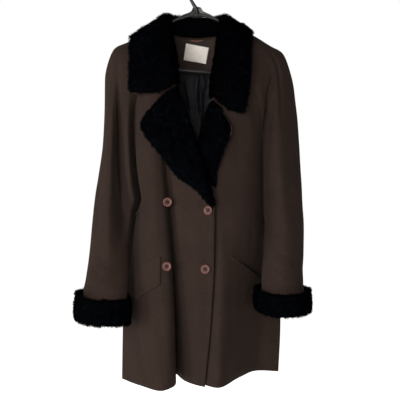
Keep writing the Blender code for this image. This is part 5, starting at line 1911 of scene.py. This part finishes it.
def buttons(fronts, thread):
    mat = button_material()
    tree = outer_face(fronts["right"][0])
    for name, x, z, turn in BUTTONS:
        centre = (x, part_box(name)[1].y / MM, z)
        body, cord = sewn_button("coat_" + name, centre, turn, mat, thread)
        place(body, "button", name)
        place(cord, "button")
    # Worked buttonholes beside the two buttons of the edge: a long ring of close stitches.
    loops = []
    for bx, by, length, lean in ((203.5, 208.5, 21, 4), (201, 269, 21, 2)):
        x0, z0 = px(bx, by, -115)
        ring = []
        for k in range(27):
            t = 2 * math.pi * k / 26
            lx = math.cos(t) * length / 2
            lz = math.copysign(min(abs(math.sin(t)) * 3.0, 1.5), math.sin(t))
            a = math.radians(lean)
            x = x0 + lx * math.cos(a) - lz * math.sin(a)
            z = z0 + lx * math.sin(a) + lz * math.cos(a)
            spot, way = front_of(tree, x, z)
            if spot is not None:
                ring.append((np.array(spot + way * 0.25), np.array(way)))
        loops.append(ring)
    place(sewing("coat_buttonholes", loops, thread, 1.1, 0.12, 0.6), "wool")


def hanger():
    """The hanger's tube and hook, smooth, with the mould line along its front."""
    verts = []
    faces = []
    sides = 28
    lines = [(ARM_RIGHT_LINE, lambda f: ARM_RADIUS, 6), (ARM_LEFT_LINE, lambda f: ARM_RADIUS, 6),
             (HOOK_LINE, lambda f: WIRE_RADIUS if f > 0.3 else WIRE_RADIUS + (0.3 - f) * 9, 8),
             (BAR_LINE, lambda f: ARM_RADIUS - 0.2, 6)]
    for line, radius, per in lines:
        pts = [np.array((x, 0.0, z)) for x, z in line]
        pts = through(pts, [per] * (len(pts) - 1))
        rings = []
        for i, p in enumerate(pts):
            a = np.array((0.0, 1.0, 0.0))
            b = np.cross(heading(pts, i), a)
            r = radius(i / (len(pts) - 1))
            ring = []
            for t in (2 * math.pi * s / sides for s in range(sides)):
                mould = 0.18 if abs(math.cos(t)) > 0.985 else 0.0
                ring.append(p + (a * math.cos(t) + b * math.sin(t)) * (r + mould))
            rings.append(ring)
        join_rings(verts, faces, rings)
    # The web between hook and arms, thinner in the middle with a raised rim.
    corners = [(x, 0.0, z) for x, z in GUSSET + GUSSET[:1]]
    outline = through(corners, [4] * len(GUSSET), closed=True)[:-1]
    middle = sum(outline) / len(outline)
    rings = []
    for share, y in ((1.0, 0.0), (1.0, 2.4), (0.98, 3.2), (0.93, 3.3), (0.88, 2.2), (0.5, 1.9)):
        ring = []
        for p in outline:
            q = middle + (p - middle) * share
            ring.append((q[0], y, q[2]))
        rings.append(ring)
    for sign in (-1, 1):
        start = len(faces)
        side = [[(x, y * sign, z) for x, y, z in ring] for ring in rings]
        join_rings(verts, faces, side, (False, True))
        if sign > 0:
            faces[start:] = [f[::-1] for f in faces[start:]]
    piece = mesh_object("hanger_moulding", verts, faces, [plastic_material()])
    place(piece, "plastic", "hanger")


def build():
    wool = wool_material()
    satin = satin_material()
    pile = fur_material()
    thread = thread_material("thread_dark", (0.006, 0.004, 0.0035), (0.018, 0.0125, 0.0105), 0.02)
    cuffs, sleeves, fronts, back = panels()
    coat_shells(sleeves, fronts, back, wool, satin)
    collar_and_lapels(fronts, pile, wool)
    fur_cuffs(cuffs, pile)
    pockets(fronts, wool, thread)
    inside(back, satin)
    buttons(fronts, thread)
    hanger()


build_stage()
build()
